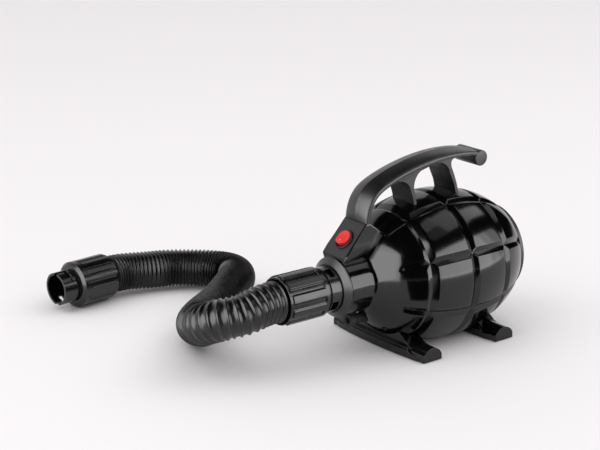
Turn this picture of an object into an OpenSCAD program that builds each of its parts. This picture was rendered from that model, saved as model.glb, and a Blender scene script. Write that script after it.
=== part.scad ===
// Car dryer blower: a grooved barrel housing with a motor and fan inside, and a ribbed hose.
// Millimetres. The nozzle points to -X, the air intake to +X, Z is up and the floor is Z = 0.
// X = 0 is half way between the collar's front lip and the back of the intake cover.

/* [Body] */
// Largest radius of the barrel
barrel_r = 82; // [76:0.5:86]
// Height of the barrel's axis above the floor
axis_z = 78; // [76:0.5:86]
// Wall of the neck
wall = 3; // [2.4:0.1:3.6]
// Thickness of the barrel's shell between its grooves
skin = 7.2; // [7:0.1:8]
// Length of the cylindrical neck behind the collar
neck_len = 29.5; // [24:0.5:40]
// Outer radius of the neck
neck_r = 31.5; // [30.5:0.1:32]
// Length of the hollow fillet between neck and nose
fillet_len = 6; // [4:0.5:9]
// Radius where that fillet meets the nose
nose_r = 37.3; // [36:0.1:39]
// Length of the smooth nose, up to the crease
nose_len = 17; // [14:0.5:22]
// Radius of the body at the crease
crease_r = 57; // [54:0.5:60]
// Length from the crease to the widest place
front_len = 86; // [78:1:96]
// Length from the widest place to the rear rim
rear_len = 85; // [78:1:94]
// Radius of the rear rim
rim_r = 51; // [49.5:0.5:54]

/* [Grooves] */
// Number of lengthwise grooves
groove_count = 8; // [8]
// Depth of the V grooves
groove_depth = 2.8; // [2:0.1:4]
// Half width of the V grooves at the surface
groove_half = 5.2; // [4:0.1:6]
// Distance from the crease to the first ring groove
first_row = 24.7; // [20:0.1:28]
// Distance between ring grooves
row_pitch = 50.7; // [46:0.1:54]

/* [Outlet] */
// Outer radius of the collar
collar_r = 32.3; // [31.8:0.1:34]
// Depth of the collar's bevelled front
collar_bevel = 5; // [3:0.1:7]
// Width of the collar's outer band
collar_band = 1.5; // [1:0.1:3]
// Outer radius of the spigot that enters the collar
spigot_r = 24.3; // [23:0.1:25]
// Wall of the spigots
spigot_wall = 2.6; // [2:0.1:3]
// How far the spigot enters the collar
spigot_seat = 24; // [20:0.5:28]
// Length of spigot that shows between sleeve and collar
spigot_show = 17; // [12:0.5:22]
// Width of the bayonet slots
slot_w = 5.4; // [4.8:0.1:6]
// Twist that unlocks the machine cuff
twist_angle = 30; // [20:1:40]

/* [Switch tower] */
// Height of the switch plate's lower edge above the axis
plate_low = 34.2; // [33:0.1:36]
// Length of the switch plate along its slope
plate_len = 43.8; // [40:0.1:50]
// Slope of the switch plate
plate_slope = 48.4; // [44:0.1:52]
// Half width of the switch plate
plate_half = 16.1; // [15:0.1:18]
// Thickness of the switch plate
plate_t = 2.4; // [2:0.1:3]
// Edge of the tower beside the plate
tower_edge = 1.8; // [1.4:0.1:3]
// Radius of the switch's hole
switch_r = 10.3; // [10:0.1:10.8]
// Radius of the switch's bezel
bezel_r = 11.5; // [11.2:0.1:12.5]
// Radius of the rocker button
rocker_r = 9; // [8:0.1:9.2]
// Angle between the rocker's two positions
rocker_throw = 22; // [16:1:26]

/* [Handle] */
// Half width of the grip
grip_half = 18; // [16:0.5:20]
// Thickness of the grip at its edges
grip_edge = 4.6; // [4:0.1:6]
// Rise of the grip's crown along its middle
grip_crown = 5; // [3:0.1:6]
// Thickness of the posts
post_t = 3.6; // [3:0.1:5]
// Radius of the round bar at the grip's end
hook_r = 8.7; // [7.5:0.1:9.5]

/* [Feet] */
// Half length of a foot
foot_half = 76; // [70:1:84]
// Width of a foot's ends
foot_w = 25; // [24:0.2:28]
// How far a foot swells sideways towards its middle
foot_bow = 5; // [3:0.5:6]
// Height of a foot's straight side
foot_side = 6.8; // [6:0.1:9]
// Height of a foot's rounded top
foot_top = 15.2; // [13.5:0.1:16]
// Distance between the feet
foot_pitch = 103.1; // [98:0.1:108]
// Distance from the crease to the front foot
foot_start = 20.1; // [18:0.1:24]
// Height of the saddle under the barrel
saddle_top = 24.4; // [20:0.1:30]
// Width of a saddle
saddle_w = 22; // [18:1:24]
// Thickness of a rubber pad
pad_t = 2.4; // [2:0.1:3]

/* [Intake] */
// Thickness of the intake cover
cover_t = 4; // [3:0.1:5]
// Number of slots in the intake cover
cover_slots = 24; // [16:1:28]
// Thickness of the foam filter
foam_t = 8; // [6:0.5:10]

/* [Motor and fan] */
// Radius of the motor can
can_r = 38; // [36:0.5:40]
// Length of the motor can
can_len = 64; // [60:1:68]
// Radius of the fan casing
fan_r = 58; // [55:0.5:60]
// Depth of the fan casing
fan_len = 38; // [35:0.5:40]
// Radius of the impeller
impeller_r = 50; // [46:0.5:52]
// Number of impeller blades
blade_count = 9; // [6:1:11]
// Radius of the motor shaft
shaft_r = 4; // [3.5:0.1:4.5]

/* [Hose and cuffs] */
// Outer radius of the hose over its ribs
hose_r = 22; // [20.5:0.1:22]
// Depth of the hose's ribs
rib_depth = 2; // [1.5:0.1:2.4]
// Radius of the hose's bore
hose_bore_r = 16.6; // [14:0.1:17]
// Distance between ribs where the hose is stretched
pitch_open = 6.6; // [6:0.1:9]
// Distance between ribs where the hose is pushed together
pitch_shut = 2.7; // [2.6:0.1:4]
// Radius of a cuff's sleeve
cuff_r = 26.6; // [26:0.1:28]
// Length of a cuff's sleeve
cuff_len = 50; // [47:0.5:54]
// Depth of the hose in its cuff
cuff_socket = 44; // [40:0.5:45]
// Depth of the sleeve's grip channels
channel_depth = 1.6; // [1:0.1:1.8]
// Outer radius of the tip that takes the nozzles
tip_r = 18.9; // [17:0.1:20]
// Length of that tip
tip_len = 20.8; // [18:0.1:26]

/* [Fasteners and fits] */
// Clearance of parts that turn or slide in each other
run_gap = 0.3; // [0.2:0.05:0.5]
// Clearance of parts that seat on curved faces
seat_gap = 0.2; // [0.1:0.05:0.3]
// Radius of the housing screws
screw_r = 1.9; // [1.5:0.1:2]
// Radius of the screw heads
head_r = 3.6; // [3.2:0.1:4]
// Height of the screw heads
head_h = 2.6; // [2:0.1:3]

/* [Hidden] */
$fn = 96;

// ---- Places along the axis, from the collar's lip backwards ----
collar_len = collar_bevel + collar_band;
body_len = collar_len + neck_len + fillet_len + nose_len + front_len + rear_len + cover_t;
lip_x = -body_len / 2;
neck_x = lip_x + collar_len;
fillet_x = neck_x + neck_len;
nose_x = fillet_x + fillet_len;
crease_x = nose_x + nose_len;
belly_x = crease_x + front_len;
rim_x = belly_x + rear_len;
back_x = rim_x + cover_t;
rings_x = [for (i = [0:2]) crease_x + first_row + i * row_pitch];

// ---- The barrel's meridian: two half ovals that meet at the widest place ----
front_power = 2.4;
rear_power = 1.9;
front_a = front_len / pow(1 - pow(crease_r / barrel_r, 2), 1 / front_power);
rear_a = rear_len / pow(1 - pow(rim_r / barrel_r, 2), 1 / rear_power);
function egg_r(x) = x < belly_x
    ? barrel_r * sqrt(1 - pow((belly_x - x) / front_a, front_power))
    : barrel_r * sqrt(1 - pow((x - belly_x) / rear_a, rear_power));
function egg_run(x0, x1, n) = [for (i = [0:n]) let (x = x0 + (x1 - x0) * i / n) [x, egg_r(x)]];
function cavity_r(x) = egg_r(x) - skin;

// The nose is nearly a straight cone: the share of its rise at a share t of its length
function nose_rise(t) = 0.75 * t + 0.25 * sin(90 * t);
// Neck, fillet and nose, as one run of points that ends at the crease
function nose_run(grow = 0) = concat(
    [[neck_x, neck_r + grow], [fillet_x, neck_r + grow]],
    [for (i = [1:4]) let (t = i / 4)
        [fillet_x + fillet_len * sin(90 * t), nose_r + grow - (nose_r - neck_r) * cos(90 * t)]],
    [for (i = [1:5]) let (t = i / 5)
        [nose_x + nose_len * t, nose_r + grow + (crease_r - nose_r) * nose_rise(t)]]);
function with_notch(x) = [[x, egg_r(x) - groove_depth]];
g = groove_half;
outer_run = concat(nose_run(),
    egg_run(crease_x + 0.5, rings_x[0] - g, 3), with_notch(rings_x[0]),
    egg_run(rings_x[0] + g, rings_x[1] - g, 6), with_notch(rings_x[1]),
    egg_run(rings_x[1] + g, rings_x[2] - g, 6), with_notch(rings_x[2]),
    egg_run(rings_x[2] + g, rim_x, 6));
plain_run = concat(nose_run(seat_gap),
    [for (p = egg_run(crease_x + 0.5, rim_x, 24)) [p[0], p[1] + seat_gap]]);
neck_bore_r = neck_r - wall;
cavity_run = concat([[neck_x - 1, neck_bore_r], [fillet_x, neck_bore_r]],
    [for (i = [0:16]) let (x = crease_x + 3 + (rim_x - crease_x - 3) * i / 16) [x, cavity_r(x)]]);

// ---- Small helpers ----
function arc(cx, cy, r, a0, a1, n) = [for (i = [0:n]) let (a = a0 + (a1 - a0) * i / n)
    [cx + r * cos(a), cy + r * sin(a)]];
function bspline_point(q, i, t) = (pow(1 - t, 3) * q[i] + (3 * pow(t, 3) - 6 * t * t + 4) * q[i + 1]
    + (1 + 3 * t + 3 * t * t - 3 * pow(t, 3)) * q[i + 2] + pow(t, 3) * q[i + 3]) / 6;
function bspline(q, steps) = concat(
    [for (i = [0:len(q) - 4], k = [0:steps - 1]) bspline_point(q, i, k / steps)],
    [bspline_point(q, len(q) - 4, 1)]);
function unit(v) = v / norm(v);

// Turns a run of [x, radius] points into a solid round the barrel's axis
module turned(run) {
    closed = concat([[run[0][0], 0]], run, [[run[len(run) - 1][0], 0]]);
    translate([0, 0, axis_z]) rotate([0, 90, 0]) rotate_extrude()
        polygon([for (p = closed) [p[1], p[0]]]);
}
// A disc or tube along the axis from x0 to x1
module rod(x0, x1, r) {
    translate([x0, 0, axis_z]) rotate([0, 90, 0]) cylinder(h = x1 - x0, r = r);
}
module tube(x0, x1, r, bore) {
    difference() {
        rod(x0, x1, r);
        rod(x0 - 1, x1 + 1, bore);
    }
}
// Extrudes an outline drawn in X and Z along Y, centred
module slab(points, width) {
    rotate([90, 0, 0]) linear_extrude(height = width, center = true) polygon(points);
}
module half(side) {
    reach = 400;
    translate([-reach, side > 0 ? 0 : -reach, -reach]) cube([2 * reach, reach, 2 * reach]);
}

// ---- Housing ----
groove_reach = 5.3;
groove_tip_x = crease_x - groove_reach;
groove_tip_r = nose_r + (crease_r - nose_r) * nose_rise(1 - groove_reach / nose_len) - 0.25;
groove_end_x = rim_x + 2;
groove_tilt = atan(groove_depth / groove_half);
groove_floor = concat([[groove_tip_x, groove_tip_r]],
    [for (p = egg_run(crease_x + 1, rim_x, 22)) [p[0], p[1] - groove_depth]],
    [[groove_end_x, rim_r - groove_depth - 1]]);
// A V groove that follows the meridian: two tilted extrusions of its floor line, crossed
module groove() {
    c = cos(groove_tilt);
    lid = (barrel_r + 8) * c;
    strip = concat([for (p = groove_floor) [p[0], p[1] * c]],
        [[groove_end_x, lid], [groove_tip_x, lid]]);
    intersection() {
        rotate([groove_tilt, 0, 0]) slab(strip, 2 * barrel_r);
        rotate([-groove_tilt, 0, 0]) slab(strip, 2 * barrel_r);
    }
}
module grooves(side) {
    step = 360 / groove_count;
    for (k = [0:groove_count / 2 - 1])
        translate([0, 0, axis_z]) rotate([-side * (step / 2 + k * step), 0, 0]) groove();
}

// The tower that carries the switch plate, on top of the neck
slope_dir = [cos(plate_slope), sin(plate_slope)];
plate_p0 = [lip_x + collar_len + 0.3, axis_z + plate_low];
plate_p1 = plate_p0 + plate_len * slope_dir;
tower_land = 5;
tower_back = [plate_p1[0] + tower_land + 17, axis_z + crease_r - 3];
// How far the tower's flanks stand out past its top's half width, at heights above the plate's foot
tower_flank = [[0, 40], [0, 32.8], [0.3, 22.8], [0.7, 15.8], [1.6, 7.8], [1.4, 3.8], [0.7, -1.2],
    [-0.9, -4.2], [-2.1, -7.2], [-3.9, -18.4], [-4.1, -24]];
module tower() {
    root_z = axis_z + neck_r * 0.5;
    n = len(tower_flank) - 1;
    flank = [for (q = tower_flank) [plate_half + tower_edge + q[0], plate_p0[1] + q[1]]];
    intersection() {
        slab([plate_p0, plate_p1, plate_p1 + [tower_land, 0], tower_back,
            [tower_back[0], root_z], [plate_p0[0], root_z]], 120);
        translate([plate_p0[0] - 1, 0, 0]) rotate([90, 0, 90])
            linear_extrude(height = tower_back[0] - plate_p0[0] + 2)
                polygon(concat(flank, [for (i = [n:-1:0]) [-flank[i][0], flank[i][1]]]));
    }
}
// Moves a piece drawn on the plate, X up its slope and Z out of it, into place
module on_plate(along) {
    p = plate_p0 + along * slope_dir;
    translate([p[0], 0, p[1]]) rotate([0, -plate_slope, 0]) children();
}
switch_at = 20.5;
switch_depth = 19;
module plate_recess() {
    on_plate(0) translate([-4, -plate_half - seat_gap, -plate_t])
        cube([plate_len + 4, 2 * (plate_half + seat_gap), 20]);
    on_plate(switch_at) translate([0, 0, -switch_depth - 1.5]) cylinder(h = 30, r = bezel_r + 1);
    on_plate(switch_at) translate([-5.5, -4, -switch_depth - 9]) cube([11, 8, 12]);
}

// The cable gland sits in a boss below the neck
gland_z = axis_z - 42;
gland_boss_r = 7.2;
gland_boss_x = nose_x - 5;
gland_r = 7;
gland_neck_r = 5.4;
cable_r = 3.6;
module gland_bore() {
    translate([gland_boss_x - 1, 0, gland_z]) rotate([0, 90, 0])
        cylinder(h = 60, r = gland_neck_r + seat_gap);
    translate([gland_boss_x + 8, 0, gland_z]) rotate([0, 90, 0])
        cylinder(h = 60, r = gland_r + run_gap);
}

// Bulkheads that hold the fan casing at the back and the motor at the front
fan_back_x = belly_x + 46;
bulkhead_x = fan_back_x - 8;
bulkhead_t = 4;
ring_mount_t = 2;
spider_x = fan_back_x - fan_len - can_len - 10;
spider_t = 5;
mount_r = 16.5;
module rear_bulkhead() {
    tube(bulkhead_x, bulkhead_x + bulkhead_t, cavity_r(bulkhead_x + bulkhead_t) + 2,
        fan_r + ring_mount_t);
}
module spider() {
    outer = cavity_r(spider_x) + 2;
    difference() {
        tube(spider_x, spider_x + spider_t, outer, mount_r);
        for (k = [0:3]) translate([spider_x - 1, 0, axis_z]) rotate([90 * k, 0, 0])
            rotate([90, 0, 90]) linear_extrude(height = spider_t + 2)
                polygon(concat(arc(0, 0, mount_r + 6, 8, 82, 6), arc(0, 0, outer - 8, 85, 5, 10)));
    }
}

// Screws that hold the two halves together, as [x, height from the axis]
joint_screws = [[crease_x + 16, -52], [belly_x, -66], [rings_x[2] + 20, -52],
    [crease_x + 16, 52], [belly_x, 66], [rings_x[2] + 20, 52]];
joint_boss_r = 4.8;
joint_head_y = 24;
joint_screw_len = 38;
module at_joint_screws() {
    for (s = joint_screws) translate([s[0], 0, axis_z + s[1]]) children();
}
// Screws of the feet, from below
foot_x = [crease_x + foot_start, crease_x + foot_start + foot_pitch];
foot_screw_y = 34;
foot_floor = 0.8;
pocket_z = 6;
// The front foot's screws reach further up than the rear foot's, which stand under the fan
function foot_screw_len(x) = x > 0 ? 20 : 27;

// Screws of the intake cover
cover_screw_ring = rim_r - 3.9;
module at_cover_screws() {
    for (a = [45:90:315]) translate([rim_x, 0, axis_z]) rotate([a, 0, 0])
        translate([0, 0, cover_screw_ring]) rotate([0, 90, 0]) children();
}
cover_skirt_r = cavity_r(rim_x) - seat_gap;

module housing(side) {
    difference() {
        intersection() {
            union() {
                difference() {
                    union() {
                        difference() {
                            turned(outer_run);
                            grooves(side);
                        }
                        tower();
                        translate([gland_boss_x, 0, gland_z]) rotate([0, 90, 0])
                            cylinder(h = 15, r = gland_boss_r);
                    }
                    turned(cavity_run);
                    gland_bore();
                }
                rear_bulkhead();
                spider();
                housing_bosses(side);
            }
            half(side);
        }
        plate_recess();
        housing_flats();
        housing_holes(side);
    }
}
// Bosses inside the shell for the joint and foot screws
module housing_bosses(side) {
    intersection() {
        turned([for (p = cavity_run) [p[0], p[1] + 1]]);
        union() {
            translate([foot_x[1] - 90, -60, -60]) cube([125, 120, 60 + pocket_z + 2]);
            at_joint_screws() rotate([side > 0 ? -90 : 90, 0, 0]) cylinder(h = 40, r = joint_boss_r);
            for (x = foot_x) translate([x, side * foot_screw_y, 0])
                cylinder(h = foot_screw_z + foot_screw_len(x) + (x > 0 ? 1.8 : 3), r = 5);
        }
    }
}
// The bottom is flat between the feet, with a deeper pocket at the rear foot
bottom_z = 2.5;
module housing_flats() {
    translate([-body_len, -60, -60]) cube([2 * body_len, 120, 60 + bottom_z]);
    translate([foot_x[1] - foot_w / 2 - foot_bow - 2.3, -60, -60])
        cube([foot_w + 2 * foot_bow + 4.6, 120, 60 + pocket_z]);
}
module housing_holes(side) {
    at_joint_screws() rotate([-90, 0, 0]) {
        if (side > 0) {
            cylinder(h = joint_head_y + 1, r = screw_r + 0.1);
            translate([0, 0, joint_head_y]) cylinder(h = 60, r = head_r + 0.4);
        } else {
            translate([0, 0, -(joint_screw_len - joint_head_y) - 2]) cylinder(h = 30, r = screw_r - 0.1);
        }
    }
    for (x = foot_x) translate([x, side * foot_screw_y, 0])
        cylinder(h = foot_screw_z + foot_screw_len(x) + 1, r = screw_r - 0.1);
    at_cover_screws() translate([0, 0, -1]) mirror([0, 0, 1])
        translate([0, 0, -2]) cylinder(h = 14, r = 1.3);
}

// ---- Collar round the outlet ----
socket_r = spigot_r + run_gap;
collar_tube_r = neck_bore_r - seat_gap;
pin_r = 2.2;
pin_x = lip_x + 11;
pin_tip_r = spigot_r - spigot_wall + 0.6;
collar_stop_r = spigot_r - spigot_wall;
module outlet_collar() color("#6f7173") {
    lip_r = socket_r + 1.4;
    back = neck_x + spigot_seat;
    run = [[lip_x, socket_r], [lip_x, lip_r], [lip_x + collar_bevel, collar_r],
        [neck_x, collar_r], [neck_x, collar_tube_r], [back - 0.3, collar_tube_r],
        [back - 0.3, collar_stop_r], [lip_x + spigot_seat + 2.6, collar_stop_r],
        [lip_x + spigot_seat + 2.6, socket_r]];
    translate([0, 0, axis_z]) rotate([0, 90, 0]) rotate_extrude()
        polygon([for (p = run) [p[1], p[0]]]);
    for (s = [-1, 1]) translate([pin_x, 0, axis_z + s * pin_tip_r]) rotate([s > 0 ? 0 : 180, 0, 0])
        cylinder(h = collar_tube_r - pin_tip_r - 1, r = pin_r);
}
// Rubber ring at the bottom of the collar's socket, which the spigot's end meets
module collar_seal() color("#202020") {
    tube(lip_x + spigot_seat + 0.6, lip_x + spigot_seat + 2.6, socket_r - 0.05, collar_stop_r);
}

// ---- Switch ----
module switch_plate() color("#2b2d2f") {
    difference() {
        on_plate(0) translate([0, -plate_half, -plate_t]) cube([plate_len, 2 * plate_half, plate_t]);
        on_plate(switch_at) translate([0, 0, -5]) cylinder(h = 10, r = switch_r + 0.1);
        translate([plate_p1[0] - 0.1, -40, plate_p1[1] - 8]) cube([20, 80, 20]);
    }
}
pivot_depth = 1.5;
rocker_swell = 2.2;
module switch_body() color("#151617") {
    difference() {
        on_plate(switch_at) {
            cylinder(h = 1.6, r = bezel_r);
            translate([0, 0, -switch_depth]) cylinder(h = switch_depth + 1, r = switch_r);
            for (s = [-1, 1]) translate([s * 4 - 0.4, -2.4, -switch_depth - 7])
                cube([0.8, 4.8, 8]);
        }
        on_plate(switch_at) translate([0, 0, -11]) cylinder(h = 20, r = rocker_r + 0.6);
    }
    on_plate(switch_at) for (s = [-1, 1]) translate([0, s * (rocker_r + 0.9), -pivot_depth])
        rotate([s * 90, 0, 0]) cylinder(h = 2.4, r = 1.2);
}
// The button: a round rocker with a hollow face, turned about its two side pins
module switch_rocker() color("#d8281e") {
    face_r = 26;
    on_plate(switch_at) translate([0, 0, -pivot_depth]) rotate([0, rocker_throw / 2, 0])
        difference() {
            intersection() {
                translate([0, 0, -4]) cylinder(h = 16, r = rocker_r - 0.3);
                rotate([90, 0, 0]) cylinder(h = 30, r = rocker_r + rocker_swell, center = true);
                translate([-20, -20, -4]) cube([40, 40, 4 + pivot_depth + 4.4]);
            }
            translate([0, 0, pivot_depth + 3.2 + face_r]) rotate([90, 0, 0])
                cylinder(h = 40, r = face_r, center = true);
            for (s = [-1, 1]) translate([0, s * (rocker_r + 0.5), 0]) rotate([s * 90, 0, 0])
                cylinder(h = 4, r = 1.25);
        }
}

// ---- Handle ----
// Control points of the grip's upper edge, from the tower's top: [back, up]
grip_route = [[-1, -16], [0, -1], [2, 14], [11, 30], [28, 39], [56, 48], [86, 54], [116, 56.5],
    [146, 55], [164, 51], [182, 45]];
grip_line = [for (p = bspline(grip_route, 3)) plate_p1 + p];
function line_normal(q, i) = let (a = q[max(i - 1, 0)], b = q[min(i + 1, len(q) - 1)], d = unit(b - a))
    [-d[1], d[0]];
function grip_offset(d) = [for (i = [0:len(grip_line) - 1])
    grip_line[i] + d * line_normal(grip_line, i)];
// The crown swells from nothing at the leg's foot and dies away towards the end
function crown_at(i) = grip_crown * pow(sin(180 * pow(i / (len(grip_line) - 1), 0.7)), 0.6);
grip_under = grip_offset(-grip_edge);
barrel_top = axis_z + barrel_r;
hook_at = plate_p1 + [160.6, 45];
post_x = [plate_p1[0] + 68.4, plate_p1[0] + 128.1];
post_top = [plate_p1[1] + 44.5, plate_p1[1] + 53];
// The posts lean forward more and more as they rise from the plate's height
function post_at(i, z) = let (h = z - plate_p1[1]) [post_x[i] - 0.08 * h - 0.005 * h * h, z];

// A post is a thin curved plate that leans forward as it rises
module post(i) {
    z0 = barrel_top - 20;
    n = 8;
    line = [for (k = [0:n]) post_at(i, z0 + (post_top[i] - z0) * k / n)];
    polygon(concat([for (p = line) p - [post_t / 2, 0]],
        [for (k = [n:-1:0]) line[k] + [post_t / 2, 0]]));
}
// A web fills the corner between post i and the grip. An arc hollows it, and it runs out at a toe.
module web(i, side, centre, r, a0, a1, toe) {
    z0 = plate_p1[1] + toe;
    curve = [for (p = arc(centre[0], centre[1], r, a0, a1, 10)) plate_p1 + p];
    middle = [for (k = [0:6]) post_at(i, z0 + (post_top[i] - z0) * k / 6)];
    polygon(concat(curve, [middle[0] + [side * (post_t / 2 - 0.1), 0]], middle, [curve[0] + [0, 3]]));
}
module posts(side) {
    w = grip_half - 0.6;
    translate([0, side > 0 ? w : 0, 0]) rotate([90, 0, 0]) linear_extrude(height = w) union() {
        post(0);
        post(1);
        web(0, -1, [45.4, 21.8], 16, 95, 10, 16);
        web(0, 1, [84.5, 28.5], 19.5, 85, 185, 18);
        web(1, -1, [97.8, 31.4], 18.6, 95, 12, 22);
        web(1, 1, [121.6, 46.6], 4.4, 85, 190, 42);
    }
}
// Half of the grip: a swept section with a flat underside and a crowned top
module grip(side) {
    w = grip_half;
    m = len(grip_line);
    function section(i) = let (p = grip_line[i], n = line_normal(grip_line, i), c = crown_at(i),
            low = p - n * grip_edge, mid = p + n * c * 0.62, top = p + n * c)
        [[low[0], 0, low[1]], [low[0], side * w, low[1]], [p[0], side * w, p[1]],
            [mid[0], side * w * 0.55, mid[1]], [top[0], 0, top[1]]];
    points = [for (i = [0:m - 1], q = section(i)) q];
    walls = [for (i = [0:m - 2], k = [0:4], h = [0, 1]) let (a = i * 5 + k, b = i * 5 + (k + 1) % 5)
        h == 0 ? [a, a + 5, b + 5] : [a, b + 5, b]];
    faces = concat(walls, [[0, 1, 2, 3, 4]], [[for (k = [4:-1:0]) (m - 1) * 5 + k]]);
    polyhedron(points, side > 0 ? faces : [for (q = faces) [for (k = [len(q) - 1:-1:0]) q[k]]]);
}
handle_screw_at = [[57, 41], [113.5, 49], [160.6, 45]];
module at_handle_screws() {
    for (s = handle_screw_at) translate([plate_p1[0] + s[0], 0, plate_p1[1] + s[1]])
        rotate([-90, 0, 0]) children();
}
module handle(side) color("#343638") {
    difference() {
        union() {
            posts(side);
            grip(side);
            translate([hook_at[0], 0, hook_at[1]]) rotate([-90 * side, 0, 0])
                cylinder(h = grip_half + 0.3, r = hook_r);
        }
        turned(plain_run);
        translate([plate_p1[0] - 20, -40, plate_p1[1] - 40]) cube([34, 80, 40 + seat_gap]);
        at_handle_screws() {
            if (side > 0) {
                translate([0, 0, -1]) cylinder(h = 40, r = 1.3);
                translate([0, 0, grip_half - 6]) cylinder(h = 10, r = 2.6);
            } else {
                translate([0, 0, -10]) cylinder(h = 11, r = 1.1);
            }
        }
    }
}
module handle_screws() color("#8a8c8e") {
    at_handle_screws() {
        translate([0, 0, -9]) cylinder(h = grip_half + 3, r = 1.1);
        translate([0, 0, grip_half - 6]) cylinder(h = 2, r = 2.4);
    }
}

// ---- Feet ----
cap_r = (pow(foot_w / 2, 2) + pow(foot_top - foot_side, 2)) / (2 * (foot_top - foot_side));
foot_screw_z = 3.4;
foot_deck = 11.4;
saddle_half = 32;
// A foot's plan: its sides swell towards the middle and tuck into the rounded ends
module foot_plan(inset = 0) {
    y1 = foot_half - 10;
    side = concat([[foot_w / 2 - 1 - inset, -foot_half + 4]],
        [for (i = [0:12]) let (y = -y1 + 2 * y1 * i / 12)
            [foot_w / 2 - inset + foot_bow * (1 - pow(y / foot_half, 2)), y]],
        [[foot_w / 2 - 1 - inset, foot_half - 4]]);
    polygon(concat(side, [for (i = [14:-1:0]) [-side[i][0], side[i][1]]]));
}
module foot(x) color("#1b1c1d") {
    difference() {
        union() {
            intersection() {
                translate([x, 0, foot_top - cap_r]) rotate([90, 0, 0])
                    cylinder(h = 2 * foot_half, r = cap_r, center = true);
                translate([x - foot_w / 2, -foot_half, foot_floor])
                    cube([foot_w, 2 * foot_half, foot_top]);
            }
            translate([x, 0, foot_floor]) linear_extrude(height = foot_side - foot_floor) foot_plan();
            // A stepped deck between the rounded ends
            intersection() {
                translate([x, 0, foot_side - 1]) union() {
                    linear_extrude(height = 3.2) foot_plan();
                    linear_extrude(height = foot_deck - foot_side + 1) foot_plan(2.2);
                }
                translate([x, 0, 0]) rotate([90, 0, 90]) linear_extrude(height = 80, center = true)
                    polygon([[-foot_half + 18, foot_side - 2], [-foot_half + 20, foot_side],
                        [-foot_half + 28, foot_deck + 0.3], [foot_half - 28, foot_deck + 0.3],
                        [foot_half - 20, foot_side], [foot_half - 18, foot_side - 2]]);
            }
            translate([x, 0, 0]) rotate([90, 0, 90])
                linear_extrude(height = saddle_w, center = true)
                    polygon([[-saddle_half - 26, foot_side - 1], [-saddle_half - 26, foot_side],
                        [-saddle_half, saddle_top], [saddle_half, saddle_top],
                        [saddle_half + 26, foot_side], [saddle_half + 26, foot_side - 1]]);
        }
        difference() {
            turned(plain_run);
            translate([x - 60, -60, -60])
                cube([120, 120, 60 + (x > 0 ? pocket_z : bottom_z) - seat_gap]);
        }
        for (s = [-1, 1]) {
            translate([x - foot_w / 2 + 2, s > 0 ? foot_half - 24 : -foot_half + 2, -1])
                cube([foot_w - 4, 22, 1 + pad_t]);
            translate([x, s * foot_screw_y, -1]) cylinder(h = 60, r = screw_r + 0.1);
            translate([x, s * foot_screw_y, -1]) cylinder(h = foot_screw_z + head_h + 1, r = head_r + 0.4);
        }
    }
}
module foot_front() foot(foot_x[0]);
module foot_rear() foot(foot_x[1]);
module foot_pads() color("#101010") {
    for (x = foot_x, s = [-1, 1])
        translate([x - foot_w / 2 + 2.1, s > 0 ? foot_half - 23.9 : -foot_half + 2.1, 0])
            cube([foot_w - 4.2, 21.8, pad_t]);
}
module foot_screws() color("#8a8c8e") {
    for (s = [-1, 1], x = foot_x) translate([x, s * foot_screw_y, foot_screw_z]) {
        cylinder(h = head_h, r = head_r);
        cylinder(h = foot_screw_len(x), r = screw_r - 0.1);
    }
}
module housing_screws() color("#8a8c8e") {
    at_joint_screws() rotate([-90, 0, 0]) {
        translate([0, 0, joint_head_y]) cylinder(h = head_h, r = head_r);
        translate([0, 0, joint_head_y - joint_screw_len]) cylinder(h = joint_screw_len, r = screw_r - 0.1);
    }
}

// ---- Cable gland ----
gland_len = 11.5;
gland_disc = 5.5;
module cable_gland() color("#0e0e0e") {
    translate([gland_boss_x - gland_len, 0, gland_z]) rotate([0, 90, 0]) difference() {
        union() {
            cylinder(h = gland_disc, r = gland_r);
            cylinder(h = gland_len + 12, r = gland_neck_r);
            translate([0, 0, gland_len - 2.1]) cylinder(h = 2, r = gland_r - 0.5);
            translate([0, 0, gland_len + 8.2]) cylinder(h = 3, r = gland_r - 0.2);
        }
        translate([0, 0, -1]) cylinder(h = gland_len + 20, r = cable_r);
    }
}

// ---- Intake cover and filter ----
skirt_len = 14;
skirt_wall = 2;
module rear_cover() color("#1d1e1f") {
    field_r = cover_skirt_r - skirt_wall - 3;
    difference() {
        translate([rim_x, 0, axis_z]) rotate([0, 90, 0]) {
            linear_extrude(height = cover_t) difference() {
                circle(r = rim_r - 0.8);
                for (k = [0:cover_slots - 1]) rotate(k * 360 / cover_slots)
                    translate([15, -1.6]) square([field_r - 15, 3.2]);
            }
            translate([0, 0, -skirt_len]) linear_extrude(height = skirt_len + 1) difference() {
                circle(r = cover_skirt_r);
                circle(r = cover_skirt_r - skirt_wall);
            }
        }
        at_cover_screws() {
            cylinder(h = 20, r = 1.6);
            translate([0, 0, cover_t - 2]) cylinder(h = 20, r = 2.7);
        }
    }
}
module cover_screws() color("#8a8c8e") {
    at_cover_screws() {
        translate([0, 0, cover_t - 2]) cylinder(h = 1.8, r = 2.5);
        translate([0, 0, -11]) cylinder(h = 11 + cover_t - 1.5, r = 1.3);
    }
}
module filter_foam() color("#3a3c3e") {
    rod(rim_x - foam_t, rim_x, cover_skirt_r - skirt_wall);
}

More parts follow.
